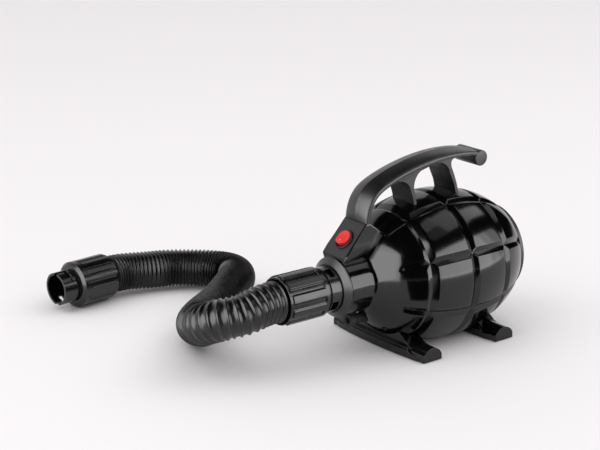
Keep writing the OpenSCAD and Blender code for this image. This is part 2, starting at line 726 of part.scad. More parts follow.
// ---- Fan ----
eye_r = 19;
fan_wall = 2;
casing_x0 = fan_back_x - fan_len;
impeller_x = fan_back_x - fan_wall - 2 - 15;
module fan_casing() color("#b9bcbf") {
    difference() {
        rod(casing_x0, fan_back_x, fan_r);
        rod(casing_x0 - 1, fan_back_x - fan_wall, fan_r - fan_wall);
        rod(casing_x0, fan_back_x + 1, eye_r);
    }
}
module fan_ring_mount() color("#1a1a1a") {
    tube(bulkhead_x - 5, bulkhead_x + bulkhead_t, fan_r + ring_mount_t - 0.2, fan_r + 0.05);
}
module impeller() color("#c9ccd0") {
    h = 15;
    hub_r = 11;
    sheet = 1.6;
    // A blade runs out from the hub and curls back; its two faces are a sheet's width apart
    edge = [for (i = [0:7]) let (t = i / 7) [hub_r - 1 + (impeller_r - hub_r + 0.4) * t, -55 * t]];
    blade = concat([for (e = edge) e[0] * [cos(e[1]), sin(e[1])]],
        [for (i = [7:-1:0]) let (e = edge[i], a = e[1] + 80 / e[0]) e[0] * [cos(a), sin(a)]]);
    difference() {
        translate([impeller_x, 0, axis_z]) rotate([0, 90, 0]) {
            cylinder(h = sheet, r = impeller_r);
            cylinder(h = 9, r = hub_r);
            translate([0, 0, sheet / 2]) linear_extrude(height = h - sheet)
                for (k = [0:blade_count - 1]) rotate(k * 360 / blade_count) polygon(blade);
            translate([0, 0, h - sheet]) difference() {
                cylinder(h = sheet, r = impeller_r);
                translate([0, 0, -1]) cylinder(h = sheet + 2, r = eye_r + 1);
            }
        }
        rod(impeller_x - 1, impeller_x + 20, shaft_r);
    }
}
module impeller_nut() color("#9a9da0") {
    difference() {
        translate([impeller_x + 9, 0, axis_z]) rotate([0, 90, 0]) cylinder(h = 4, r = 7.5, $fn = 6);
        rod(impeller_x, impeller_x + 20, shaft_r);
    }
}
plate_x = casing_x0 + 8;
module diffuser() color("#d6d8da") {
    difference() {
        union() {
            rod(plate_x, plate_x + 2, fan_r - fan_wall - 5);
            rod(casing_x0, casing_x0 + 2, fan_r - fan_wall - 0.1);
            translate([casing_x0, 0, axis_z]) rotate([0, 90, 0])
                for (k = [0:10]) rotate(k * 360 / 11) linear_extrude(height = 9)
                    polygon([[15, 0], [fan_r - fan_wall - 4, 14], [fan_r - fan_wall - 4, 16], [15, 2]]);
        }
        rod(casing_x0 - 1, plate_x + 4, 13);
        for (a = [0:30:330]) translate([casing_x0 - 1, 0, axis_z]) rotate([a, 0, 0])
            translate([0, 0, can_r - 8]) rotate([0, 90, 0]) cylinder(h = 4, r = 5);
    }
}

// ---- Motor ----
can_x0 = casing_x0 - can_len;
can_wall = 2;
bearing_r = 11;
bearing_w = 7;
rear_bearing_x = casing_x0 + 1;
front_bearing_x = can_x0 - bearing_w - 1;
module motor_can() color("#8f9396") {
    difference() {
        union() {
            rod(can_x0, casing_x0, can_r);
            rod(can_x0 - bearing_w - 3, can_x0 + 1, bearing_r + 2.5);
            rod(casing_x0 - 1, rear_bearing_x + bearing_w, bearing_r + 1.9);
        }
        rod(can_x0 + can_wall, casing_x0 - can_wall, can_r - can_wall);
        rod(front_bearing_x, can_x0 + 9, bearing_r);
        rod(can_x0 - 30, can_x0, shaft_r + 1);
        rod(casing_x0 - 8, rear_bearing_x + bearing_w + 1, bearing_r);
        for (a = [45:90:315], x = [can_x0 + 16, casing_x0 - 14])
            translate([x, 0, axis_z]) rotate([a, 0, 0]) cylinder(h = 60, r = 6);
        for (a = [45:90:315]) translate([can_x0 - 1, 0, axis_z]) rotate([a, 0, 0])
            translate([0, 0, 25]) rotate([0, 90, 0]) cylinder(h = 5, r = 7);
    }
}
module motor_front_mount() color("#1a1a1a") {
    difference() {
        rod(spider_x - 2, can_x0, mount_r);
        rod(can_x0 - bearing_w - 3, can_x0 + 1, bearing_r + 2.5);
        rod(spider_x - 3, can_x0, bearing_r - 2);
    }
}
module bearing(x) color("#c4c6c8") {
    difference() {
        rod(x, x + bearing_w, bearing_r);
        rod(x - 1, x + bearing_w + 1, shaft_r + 0.05);
        for (e = [x - 0.01, x + bearing_w - 0.99]) tube(e, e + 1, bearing_r - 2.6, shaft_r + 2.4);
    }
}
module front_bearing() bearing(front_bearing_x);
module rear_bearing() bearing(rear_bearing_x);
core_len = 34;
core_x = casing_x0 - 12 - core_len;
core_r = 20;
module stator_core() color("#6a6d70") {
    difference() {
        rod(core_x, core_x + core_len, can_r - can_wall);
        rod(core_x - 1, core_x + core_len + 1, core_r + 0.6);
        for (s = [0, 180]) translate([core_x - 1, 0, axis_z]) rotate([s, 0, 0]) rotate([90, 0, 90])
            linear_extrude(height = core_len + 2)
                polygon(concat(arc(0, 0, 31, 25, 155, 12), arc(0, 0, core_r - 2, 135, 45, 8)));
    }
}
module field_coils() color("#b5651d") {
    for (s = [0, 180]) translate([core_x - 6, 0, axis_z]) rotate([s, 0, 0]) rotate([90, 0, 90])
        linear_extrude(height = core_len + 12)
            polygon(concat(arc(0, 0, 30.4, 36, 144, 12), arc(0, 0, 23.5, 138, 42, 10)));
}
module armature() color("#7a4a2a") {
    difference() {
        union() {
            rod(core_x, core_x + core_len, core_r);
            rod(core_x - 6, core_x + core_len + 6, core_r - 4);
        }
        rod(core_x - 10, core_x + core_len + 10, shaft_r);
        for (a = [0:30:330]) translate([core_x - 7, 0, axis_z]) rotate([a, 0, 0])
            translate([0, -1, core_r - 1.5]) cube([core_len + 14, 2, 5]);
    }
}
commutator_x = can_x0 + 3;
commutator_len = 11;
module commutator() color("#b87333") {
    difference() {
        rod(commutator_x, core_x - 6, shaft_r + 4);
        rod(commutator_x - 1, core_x, shaft_r);
        for (a = [0:30:330]) translate([commutator_x - 1, 0, axis_z]) rotate([a, 0, 0])
            translate([0, -0.3, shaft_r + 3.2]) cube([commutator_len + 1, 0.6, 5]);
    }
}
module motor_shaft() color("#d0d2d4") rod(can_x0 - bearing_w - 0.5, impeller_x + 15, shaft_r);
brush_x = commutator_x + 4.8;
module brush_holders() color("#c9a24a") {
    for (s = [-1, 1]) intersection() {
        rod(brush_x - 12, brush_x + 12, can_r - can_wall - 0.05);
        translate([brush_x, s * (shaft_r + 6), axis_z]) rotate([-90 * s, 0, 0])
            linear_extrude(height = can_r - can_wall - shaft_r - 5) difference() {
                square([8, 11], center = true);
                square([5, 8], center = true);
            }
    }
}
module carbon_brushes() color("#242424") {
    for (s = [-1, 1]) translate([brush_x, s * (shaft_r + 4.1), axis_z]) rotate([-90 * s, 0, 0])
        translate([-2.5, -4, 0]) cube([5, 8, 16]);
}

// ---- Cuffs ----
cuff_x = lip_x - spigot_show;
channel_count = 10;
channel_half = 2.6;
// How much narrower a spigot is inside its sleeve, and how far in front of it that neck starts
neck_step = 1.4;
neck_gap = 3.5;
// A sleeve with its spigot end at x = 0 and its hose end at x = cuff_len. The grip channels have
// sloping walls and start at x = from, with a slant that sets one wall further back.
module sleeve(spigot_r, nose, turn, from, slant) {
    end_step = 3.5;
    hole_r = spigot_r - neck_step + seat_gap;
    difference() {
        rotate([0, 90, 0]) rotate_extrude()
            polygon([[hole_r, 0], [cuff_r - nose, 0], [cuff_r, nose], [cuff_r, cuff_len - end_step],
                [cuff_r - 1.4, cuff_len - end_step], [cuff_r - 1.4, cuff_len],
                [hose_r + run_gap, cuff_len], [hose_r + run_gap, cuff_len - cuff_socket],
                [hole_r, cuff_len - cuff_socket]]);
        for (k = [0:channel_count - 1]) rotate([turn + k * 360 / channel_count, 0, 0]) intersection() {
            rotate([90, 0, 90]) linear_extrude(height = cuff_len + 1)
                polygon([[-channel_half, cuff_r - channel_depth], [channel_half, cuff_r - channel_depth],
                    [2 * channel_half, cuff_r + 0.7], [-2 * channel_half, cuff_r + 0.7]]);
            translate([0, 0, cuff_r - channel_depth - 1]) linear_extrude(height = 5)
                polygon([[from + slant, -6], [from, 6], [cuff_len + 2, 6], [cuff_len + 2, -6]]);
        }
    }
}
// A spigot from x = -length to its end inside the sleeve, with two bayonet slots and a narrower neck
module spigot(r, length, slot_len, seat) {
    difference() {
        union() {
            translate([-length, 0, 0]) rotate([0, 90, 0]) rotate([0, 0, 15])
                cylinder(h = length - neck_gap, r = r);
            translate([-neck_gap - 1, 0, 0]) rotate([0, 90, 0])
                cylinder(h = neck_gap + 1 + cuff_len - cuff_socket, r = r - neck_step);
        }
        translate([-length - 1, 0, 0]) rotate([0, 90, 0])
            cylinder(h = length + cuff_len, r = r - spigot_wall);
        for (s = [0, 180]) rotate([s, 0, 0]) {
            translate([-length - 1, -slot_w / 2, 0]) cube([slot_len + 1, slot_w, r + 5]);
            intersection() {
                translate([-length + slot_len - slot_w, 0, 0]) rotate([0, 90, 0])
                    cylinder(h = slot_w, r = r + 5);
                rotate([90, 0, 90]) linear_extrude(height = 3 * length, center = true)
                    polygon(concat([[0, 0]], arc(0, 0, r + 8, 90, 90 + seat, 6)));
            }
        }
    }
}
slot_reach = lip_x + spigot_seat - pin_x + slot_w / 2;
// Half the slot's width as an angle, so that the pin lies against the slot's end when locked
slot_spare = asin((slot_w / 2) / spigot_r);
module in_machine_cuff() {
    translate([cuff_x, 0, axis_z]) mirror([1, 0, 0]) children();
}
module machine_cuff_sleeve() color("#18191a") {
    in_machine_cuff() sleeve(spigot_r, 1.5, 19.8, 5.5, 0);
}
// Windows in the machine's spigot, as [middle, angle from the top, length, width]
spigot_windows = [[lip_x - 6.8, 27, 6.6, 12], [lip_x - 8.5, 122, 8.5, 13]];
module machine_cuff_spigot() color("#242526") {
    difference() {
        in_machine_cuff() rotate([-twist_angle, 0, 0])
            spigot(spigot_r, spigot_show + spigot_seat + 0.5, slot_reach + 0.5, twist_angle + slot_spare);
        for (w = spigot_windows) translate([w[0], 0, axis_z]) rotate([w[1], 0, 0])
            translate([-w[2] / 2, -w[3] / 2, 0]) cube([w[2], w[3], 40]);
    }
}
tip_dir = 186;
tip_at = [-253, 306];
cuff_lift = 0.2;
module in_outlet_cuff() {
    translate([tip_at[0], tip_at[1], cuff_r + cuff_lift]) rotate([0, 0, tip_dir - 180]) children();
}
module outlet_cuff_sleeve() color("#18191a") in_outlet_cuff() sleeve(tip_r, 3, 10, 5, 9);
module outlet_cuff_spigot() color("#242526") {
    in_outlet_cuff() difference() {
        spigot(tip_r, tip_len, 14.6, 38);
        translate([-8, 0, 0]) rotate([50, 0, 0]) cylinder(h = tip_r + 2, r = 1.8);
    }
}

// ---- Hose ----
// Control points of the hose's middle line between the two straight ends in the cuffs
hose_middle = [[-224, 0, 72], [-245, 11, 69], [-253, 36, 58], [-234, 58, 49], [-218, 84, 34],
    [-210, 118, 23], [-186, 138, 23], [-150, 159, 23], [-122, 183, 23], [-99, 203, 23],
    [-73, 225, 23], [-73, 257, 23], [-121, 298, 24], [-147, 300, 25]];
hose_step = 22;
hose_start = [cuff_x - cuff_len, 0, axis_z];
tip_axis = [cos(tip_dir), sin(tip_dir), 0];
hose_end = [tip_at[0], tip_at[1], cuff_r + cuff_lift] - cuff_len * tip_axis;
hose_route = concat([for (k = [3:-1:-1]) hose_start + [hose_step * k, 0, 0]], hose_middle,
    [for (k = [-1:3]) hose_end + hose_step * k * tip_axis]);
line_steps = 12;
hose_line = bspline(hose_route, line_steps);
// Running length along the line, point by point
function running(q, i = 0, s = 0, out = []) = i >= len(q) ? out
    : let (d = i == 0 ? 0 : norm(q[i] - q[i - 1])) running(q, i + 1, s + d, concat(out, [s + d]));
hose_s = running(hose_line);
hose_len = hose_s[len(hose_s) - 1];
function span_of(s, i = 0) = i >= len(hose_s) - 2 || hose_s[i + 1] > s ? i : span_of(s, i + 1);
function line_at(s) = let (i = span_of(s), t = (s - hose_s[i]) / (hose_s[i + 1] - hose_s[i]))
    hose_line[i] * (1 - t) + hose_line[i + 1] * t;
function heading(s) = unit(line_at(min(s + 3, hose_len)) - line_at(max(s - 3, 0)));
// The ribs close up between two marks along the hose, and open out again after them
shut_from = 215;
shut_to = 395;
shut_blend = 60;
pitch_far = 4.6;
function ease(x) = let (t = min(1, max(0, x))) t * t * (3 - 2 * t);
function pitch_at(s) = s < (shut_from + shut_to) / 2
    ? pitch_open + (pitch_shut - pitch_open) * ease((s - shut_from + shut_blend) / shut_blend)
    : pitch_shut + (pitch_far - pitch_shut) * ease((s - shut_to) / shut_blend);
function rib_places(s = 0, out = []) = s > hose_len - pitch_far ? out
    : rib_places(s + pitch_at(s), concat(out, [s]));
hose_ribs = rib_places();
// Rings of eight points: one on each rib's crest and one in the valley after it
hose_sides = 8;
hose_rings = concat([for (k = [0:len(hose_ribs) - 1], v = [0, 1]) let (s = hose_ribs[k])
    v == 0 ? [s, hose_r] : [s + pitch_at(s) / 2, hose_r - rib_depth]], [[hose_len, hose_r]]);
bore_rings = concat([for (k = [0:4:len(hose_ribs) - 1]) [hose_ribs[k], hose_bore_r]],
    [[hose_len, hose_bore_r]]);
function ring(s, r) = let (p = line_at(s), d = heading(s), a = unit(cross(d, [0, 0, 1])), b = cross(a, d))
    [for (k = [0:hose_sides - 1]) let (w = 360 * (k + 0.5) / hose_sides) p + r * (cos(w) * a + sin(w) * b)];
module hose() color("#1c1d1e") {
    n = hose_sides;
    a = len(hose_rings);
    b = len(bore_rings);
    points = [for (q = concat(hose_rings, bore_rings), p = ring(q[0], q[1])) p];
    skin_faces = [for (i = [0:a - 2], k = [0:n - 1], h = [0, 1]) let (c = i * n, e = (k + 1) % n)
        h == 0 ? [c + k, c + e, c + n + e] : [c + k, c + n + e, c + n + k]];
    bore_faces = [for (i = [0:b - 2], k = [0:n - 1], h = [0, 1])
        let (c = (a + i) * n, e = (k + 1) % n)
        h == 0 ? [c + k, c + n + e, c + e] : [c + k, c + n + k, c + n + e]];
    last_skin = (a - 1) * n;
    last_bore = (a + b - 1) * n;
    first = [for (k = [0:n - 1], h = [0, 1]) let (e = (k + 1) % n, c = a * n)
        h == 0 ? [k, c + k, c + e] : [k, c + e, e]];
    last = [for (k = [0:n - 1], h = [0, 1]) let (e = (k + 1) % n)
        h == 0 ? [last_skin + k, last_skin + e, last_bore + e]
            : [last_skin + k, last_bore + e, last_bore + k]];
    polyhedron(points, concat(skin_faces, bore_faces, first, last));
}
// Least gap between stretches of the hose that lie more than four radii apart along it
gap_marks = [for (s = [0:6:hose_len]) s];
hose_gap = min([for (s = gap_marks, t = gap_marks) if (t - s > 4 * hose_r) norm(line_at(t) - line_at(s))])
    - 2 * hose_r;
echo(hose_length = hose_len, ribs = len(hose_ribs), least_gap = hose_gap);

module housing_left() color("#131415") housing(1);
module housing_right() color("#131415") housing(-1);
module handle_left() handle(1);
module handle_right() handle(-1);

housing_left();
housing_right();
outlet_collar();
collar_seal();
switch_plate();
switch_body();
switch_rocker();
handle_left();
handle_right();
handle_screws();
foot_front();
foot_rear();
foot_pads();
foot_screws();
housing_screws();
cable_gland();
rear_cover();
cover_screws();
filter_foam();
fan_casing();
fan_ring_mount();
impeller();
impeller_nut();
diffuser();
motor_can();
motor_front_mount();
front_bearing();
rear_bearing();
stator_core();
field_coils();
armature();
commutator();
motor_shaft();
brush_holders();
carbon_brushes();
machine_cuff_sleeve();
machine_cuff_spigot();
hose();
outlet_cuff_sleeve();
outlet_cuff_spigot();
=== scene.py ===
# %% [markdown]
# # A car dryer blower, from its CAD frame to a studio picture
# The CAD model gives every piece its size and its place. This lesson dresses it: glossy moulded
# shells, a satin handle, a ribbed hose, and the lamps that make black plastic readable.
# Lengths below are in millimetres, as in the CAD source, and become metres in one place.

# %% Load the CAD model
import math

import bmesh
import bpy
import numpy as np
from mathutils import Matrix


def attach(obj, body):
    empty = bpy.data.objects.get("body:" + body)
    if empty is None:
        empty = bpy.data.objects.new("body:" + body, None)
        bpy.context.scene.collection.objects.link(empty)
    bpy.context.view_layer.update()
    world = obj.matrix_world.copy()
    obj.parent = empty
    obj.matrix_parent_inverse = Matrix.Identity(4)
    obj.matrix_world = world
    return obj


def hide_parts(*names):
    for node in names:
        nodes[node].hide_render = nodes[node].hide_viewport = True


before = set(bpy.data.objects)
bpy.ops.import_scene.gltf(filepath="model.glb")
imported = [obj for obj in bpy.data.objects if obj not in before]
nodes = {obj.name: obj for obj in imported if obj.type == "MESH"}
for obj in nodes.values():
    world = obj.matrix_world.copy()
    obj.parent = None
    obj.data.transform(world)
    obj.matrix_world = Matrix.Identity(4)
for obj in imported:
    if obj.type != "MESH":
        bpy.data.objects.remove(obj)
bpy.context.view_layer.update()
MM = 0.001

# %% [markdown]
# ## The camera
# A product photographer stands well back with a long lens, so that the barrel stays round and the
# hose doesn't balloon towards the viewer. The camera's axes are worked out from its yaw, pitch and
# roll. Blender's camera looks along its own -Z with +Y up, so the matrix columns are right, up, back.

# %% Camera
yaw, pitch, roll = np.radians([52.99, 17.034, -0.355])
look = np.array([math.cos(yaw) * math.cos(pitch), math.sin(yaw) * math.cos(pitch), -math.sin(pitch)])
level = np.array([math.sin(yaw), -math.cos(yaw), 0.0])
above = np.cross(level, look)
right = level * math.cos(roll) + above * math.sin(roll)
up = above * math.cos(roll) - level * math.sin(roll)
camera_data = bpy.data.cameras.new("studio_camera")
camera_data.lens = 97.87
camera_data.sensor_width = 36
camera_data.clip_end = 60
camera = bpy.data.objects.new("studio_camera", camera_data)
camera.matrix_world = Matrix(np.column_stack([right, up, -look]).tolist()).to_4x4()
camera.location = (-1.1088, -1.26657, 0.63994)
bpy.context.scene.collection.objects.link(camera)
bpy.context.scene.camera = camera
print("camera looks along", look.round(3))

# %% [markdown]
# ## Surfaces as grids of numbers
# Every new piece here is a grid of points: rows along the piece, and in each row a closed ring of
# points round it. The same small rule joins any such grid into quads. The two end rings are closed
# by one face each, or joined to each other where the piece is a tube. Working on whole arrays is
# quick, and the shape stays a formula that can be changed.

# %% Mesh helpers
def ring_quads(rows, cols):
    """Quads of a grid whose rows are closed rings: (i, j), (i, j+1), (i+1, j+1), (i+1, j)."""
    i, j = np.meshgrid(np.arange(rows - 1), np.arange(cols), indexing="ij")
    k = (j + 1) % cols
    corners = [i * cols + j, i * cols + k, (i + 1) * cols + k, (i + 1) * cols + j]
    return np.stack(corners, -1).reshape(-1, 4)


def tube_quads(rows, cols):
    """The quads of ring_quads, and one more band from the last ring back to the first."""
    first, last = np.arange(cols), (rows - 1) * cols + np.arange(cols)
    band = np.stack([last, np.roll(last, -1), np.roll(first, -1), first], -1)
    return np.vstack([ring_quads(rows, cols), band])


def tidy_normals(mesh):
    """Merges doubled points and turns every face of a closed mesh outwards."""
    shape = bmesh.new()
    shape.from_mesh(mesh)
    bmesh.ops.remove_doubles(shape, verts=shape.verts, dist=2e-6)
    bmesh.ops.recalc_face_normals(shape, faces=shape.faces)
    shape.to_mesh(mesh)
    shape.free()


def piece(name, grids, body, replaces=(), sharp=32):
    """A mesh object from one or more (points in mm, faces) pairs, riding on a body of the frame."""
    points, faces, start = [], [], 0
    for grid, quads in grids:
        grid = np.asarray(grid, float).reshape(-1, 3)
        points.append(grid)
        faces += [[start + int(v) for v in f] for f in quads]
        start += len(grid)
    mesh = bpy.data.meshes.new(name)
    mesh.from_pydata((np.concatenate(points) * MM).tolist(), [], faces)
    tidy_normals(mesh)
    mesh.polygons.foreach_set("use_smooth", np.ones(len(mesh.polygons), bool))
    mesh.set_sharp_from_angle(angle=math.radians(sharp))
    obj = bpy.data.objects.new(name, mesh)
    bpy.context.scene.collection.objects.link(obj)
    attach(obj, body)
    if replaces:
        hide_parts(*replaces)
    print(name, len(mesh.polygons), "faces")
    return obj


def loops(rings):
    """(points, faces) of a solid from rings of shape (rows, cols, 3), each end closed by one face."""
    rows, cols = rings.shape[:2]
    ends = [list(range(cols)), list(range((rows - 1) * cols, rows * cols))]
    return rings.reshape(-1, 3), ring_quads(rows, cols).tolist() + ends


# %% [markdown]
# ## The hose
# A vacuum-style hose is blow-moulded in one piece: narrow round ribs with a thin web between them,
# so it can stretch and bend. Where it is stretched the ribs stand apart, and where it is pushed
# together they nearly touch. Its middle line is a uniform cubic B-spline through the control points
# of the CAD source, which bends smoothly and never overshoots. Ribs are placed by adding up the
# local rib spacing, and between two ribs the skin falls to the root by a bell curve, so a rib keeps
# its own width however far apart the ribs are.

# %% Hose route
cuff_x, cuff_len, axis_z = -134.0, 50.0, 78.0
tip_turn = math.radians(186)
tip_axis = np.array([math.cos(tip_turn), math.sin(tip_turn), 0.0])
tip_at = np.array([-253.0, 306.0, 26.8])
hose_start = np.array([cuff_x - cuff_len, 0.0, axis_z])
hose_end = tip_at - cuff_len * tip_axis
hose_middle = np.array([
    [-224, 0, 72], [-245, 11, 69], [-253, 36, 58], [-234, 58, 49], [-218, 84, 34],
    [-210, 118, 23], [-186, 138, 23], [-150, 159, 23], [-122, 183, 23], [-99, 203, 23],
    [-73, 225, 23], [-73, 257, 23], [-121, 298, 24], [-147, 300, 25]], float)
hose_route = np.vstack([
    hose_start + np.outer([66, 44, 22, 0, -22], [1, 0, 0]), hose_middle,
    hose_end + np.outer([-22, 0, 22, 44, 66], tip_axis)])


def bspline(control, steps):
    """Points of the uniform cubic B-spline: each span blends four control points by cubic weights."""
    t = np.linspace(0, 1, steps, endpoint=False)[:, None]
    weights = [(1 - t) ** 3, 3 * t**3 - 6 * t**2 + 4, 1 + 3 * t + 3 * t**2 - 3 * t**3, t**3]
    spans = [sum(w * control[i + k] for k, w in enumerate(weights)) / 6
             for i in range(len(control) - 3)]
    last = (control[-3] + 4 * control[-2] + control[-1]) / 6
    return np.vstack(spans + [last[None]])


hose_line = bspline(hose_route, 40)
hose_run = np.concatenate([[0], np.cumsum(np.linalg.norm(np.diff(hose_line, axis=0), axis=1))])
hose_length = hose_run[-1]


def along_hose(s):
    """Middle points and unit directions at distances s along the hose."""
    def at(q):
        return np.stack([np.interp(q, hose_run, hose_line[:, k]) for k in range(3)], -1)
    ahead = at(np.minimum(s + 2, hose_length)) - at(np.maximum(s - 2, 0))
    return at(s), ahead / np.linalg.norm(ahead, axis=1)[:, None]


print("hose length", round(hose_length, 1), "mm")

# %% Hose skin
hose_r, rib_depth, rib_width, hose_bore_r = 22.0, 2.0, 1.15, 16.6
hose_sides, bore_rows, steps_per_rib = 48, 120, 9
pitch_open, pitch_shut, pitch_far = 6.6, 2.7, 4.6
# The spacing changes over pitch_change mm, from shut_from and again from far_from along the hose.
shut_from, far_from, pitch_change = 155, 395, 60


def ease(x):
    """0 below 0, 1 above 1, and the smooth step 3x^2 - 2x^3 between."""
    t = np.clip(x, 0, 1)
    return t * t * (3 - 2 * t)


def rib_pitch(s):
    """Rib spacing along the hose: open at the blower, shut in the middle, half open at the far end."""
    near = pitch_open + (pitch_shut - pitch_open) * ease((s - shut_from) / pitch_change)
    far = pitch_shut + (pitch_far - pitch_shut) * ease((s - far_from) / pitch_change)
    return np.where(s < (shut_from + pitch_change + far_from) / 2, near, far)


def rib_places():
    """Distances of the ribs: each is one local spacing after the last."""
    places = [0.0]
    while places[-1] < hose_length - pitch_far:
        places.append(places[-1] + float(rib_pitch(np.array(places[-1]))))
    return np.array(places[:-1])


ribs = rib_places()
share = np.linspace(0, 1, steps_per_rib, endpoint=False)
gaps = np.append(np.diff(ribs), hose_length - ribs[-1])
rows_s = np.append((ribs[:, None] + gaps[:, None] * share).ravel(), hose_length)
to_rib = np.append((gaps[:, None] * np.minimum(share, 1 - share)).ravel(), 0)
# A rib is a bell about twice rib_width wide, and the last row ends on a crest inside the cuff.
rows_r = hose_r - rib_depth + rib_depth * np.exp(-((to_rib / rib_width) ** 2))


def hose_rings(s, radius):
    """Rings square to the hose: middle point + radius (cos w across + sin w upwards)."""
    middle, ahead = along_hose(s)
    across = np.cross(ahead, [0, 0, 1.0])
    across /= np.linalg.norm(across, axis=1)[:, None]
    rise = np.cross(across, ahead)
    w = np.linspace(0, 2 * np.pi, hose_sides, endpoint=False)
    ring = np.cos(w)[None, :, None] * across[:, None] + np.sin(w)[None, :, None] * rise[:, None]
    return middle[:, None] + radius[:, None, None] * ring


# The bore runs back to the start, so its last ring joins the first ring of the skin.
bore = hose_rings(np.linspace(hose_length, 0, bore_rows), np.full(bore_rows, hose_bore_r))
hose_points = np.concatenate([hose_rings(rows_s, rows_r), bore])
hose_quads = tube_quads(len(hose_points), hose_sides)
hose = piece("ribbed_hose", [(hose_points, hose_quads)], "body", ["hose"], sharp=80)

# %% [markdown]
# ## Cuffs
# Each end of the hose is clipped into a turning cuff: a sleeve with ten shallow grip channels, and
# a spigot with bayonet slots. The sleeve is a turned profile whose radius also depends on the angle.
# A channel's walls slope, and their corners are smooth steps, because a moulded edge is never
# perfectly sharp and that small roundness is what catches the light.

# %% Sleeve surface
cuff_r, channel_depth, channel_count = 26.6, 1.6, 10
channel_end, rim_step = 46.5, 1.4


def channel_columns():
    """Places round the sleeve in mm of arc from a channel's middle, close together at its walls."""
    edge = np.array([-5.2, -4.8, -4.5, -4.2, -3.6, -3.0, -2.7, -2.4, -2.0, -0.8])
    pitch = 2 * np.pi * cuff_r / channel_count
    between = np.linspace(5.2, pitch - 5.2, 6)[1:-1]
    one = np.concatenate([edge, -edge[::-1], between])
    return (one[None] + pitch * np.arange(channel_count)[:, None]).ravel()


def sleeve(place, turned, nose, hole_r, first_turn, start, slant):
    """Rings of a sleeve: outside with channels, then back through the socket. x runs to the hose.
    A point is (x, -r sin a, r cos a), with the angle a from the top. first_turn is a channel's a,
    nose is the chamfer at the front, and the channels begin at start, slanting by slant."""
    arc = channel_columns()
    a = arc / cuff_r + math.radians(first_turn)
    pitch = 2 * np.pi * cuff_r / channel_count
    off = (arc + pitch / 2) % pitch - pitch / 2
    x = np.concatenate([[0, 0.3, 0.8], nose + np.array([0, 0.6, 1.5]), np.arange(4.5, 15, 0.4),
                        np.linspace(15.5, 45.5, 12), [46.1, 46.4, 46.6, 46.9, 49.4, 49.8, 50]])
    x = np.unique(x.round(3))
    base = cuff_r - nose * (1 - np.clip(x / nose, 0, 1))
    base = np.where(x > channel_end, cuff_r - rim_step, base)
    base = base - 0.25 * ((x < 0.05) | (x > 49.9))
    begin = start + slant * (6 + off) / 12
    wall = np.clip((4.55 - abs(off)) / 1.9, 0, 1)
    wall = 0.75 * wall + 0.25 * ease(wall)
    inside = ease((x[:, None] - begin) / 0.6 + 0.5) * wall
    radius = base[:, None] - channel_depth * np.where(x[:, None] < channel_end, inside, 0.12 * inside)
    socket_x = np.array([50, 49.7, 28, 6.2, 6.0, 6.0, 0])
    socket_r = np.array([22.9, 22.3, 22.3, 22.3, 22.0, hole_r, hole_r])
    xs = np.concatenate([np.repeat(x[:, None], len(a), 1), np.repeat(socket_x[:, None], len(a), 1)])
    rs = np.concatenate([radius, np.repeat(socket_r[:, None], len(a), 1)])
    local = np.stack([xs, -rs * np.sin(a), rs * np.cos(a)], -1)
    rings = local @ turned.T + place
    return rings, tube_quads(*rings.shape[:2])


flip = np.diag([-1.0, 1.0, 1.0])
tip_matrix = np.array([[-tip_axis[0], tip_axis[1], 0], [-tip_axis[1], -tip_axis[0], 0], [0, 0, 1.0]])
machine_sleeve = piece(
    "machine_sleeve", [sleeve(np.array([cuff_x, 0, axis_z]), flip, 1.5, 23.1, 19.8, 5.5, 0.0)],
    "machine_cuff", ["machine_cuff_sleeve"])
outlet_sleeve = piece(
    "outlet_sleeve", [sleeve(tip_at, tip_matrix, 3.0, 17.7, 10, 5.0, 9.0)],
    "body", ["outlet_cuff_sleeve"])

# %% [markdown]
# ## The barrel
# The housing is two mirror-image mouldings that meet on the middle plane. Each is a shell: an outer
# skin, an inner skin 3 mm behind the neck and over 4 mm behind the bottom of the grooves, and the
# joint face between them.
# Radius is a function of the place along the axis: a straight neck, a fillet that is an arc tangent
# to the neck and the nose, a nearly straight cone for the nose, and two half ovals with powers 2.4
# and 1.9. A groove takes away a V whose rim is rounded by the soft maximum (g + sqrt(g^2 + e^2)) / 2,
# and where grooves cross the deeper one wins.

# %% Barrel profile
neck_x, nose_x, crease_x, belly_x, rim_x = -110.5, -75.0, -58.0, 28.0, 113.0
neck_r, nose_r, crease_r, barrel_r, rim_r = 31.5, 37.3, 57.0, 82.0, 51.0
ring_x = crease_x + 24.7 + 50.7 * np.arange(3)
groove_angle = np.radians([22.5, 67.5, 112.5, 157.5])
groove_depth, groove_half, groove_near = 2.8, 5.2, 7.4
# Offsets in mm from a groove's middle, close together where its walls bend.
groove_side = np.array([7.4, 6.5, 6, 5.7, 5.4, 5.1, 4.8, 4.2, 2.8, 1.2, 0.5])
groove_steps = np.concatenate([-groove_side, [0], groove_side[::-1]])
skin_wall, neck_bore_r = 7.2, 28.5
front_power, rear_power = 2.4, 1.9
front_a = (belly_x - crease_x) / (1 - (crease_r / barrel_r) ** 2) ** (1 / front_power)
rear_a = (rim_x - belly_x) / (1 - (rim_r / barrel_r) ** 2) ** (1 / rear_power)


def egg(x):
    """Barrel radius: R sqrt(1 - (d/a)^p), with its own a and p in front of and behind the belly."""
    d = np.abs(x - belly_x)
    drop = np.where(x < belly_x, (d / front_a) ** front_power, (d / rear_a) ** rear_power)
    return barrel_r * np.sqrt(1 - drop)


def groove_rows():
    """Places along the axis, close together at the ring grooves."""
    start, end = crease_x + 0.4, rim_x - 1.2
    stops = np.concatenate([[start], *[c + groove_steps for c in ring_x], [end]])
    spans = zip([start, *(ring_x + groove_near)], [*(ring_x - groove_near), end])
    return np.unique(np.concatenate([stops, *[np.linspace(a, b, 12)[1:-1] for a, b in spans]]))


nose_len = crease_x - nose_x
nose_slope = math.atan((0.75 + 0.25 * math.pi / 2) * (crease_r - nose_r) / nose_len)
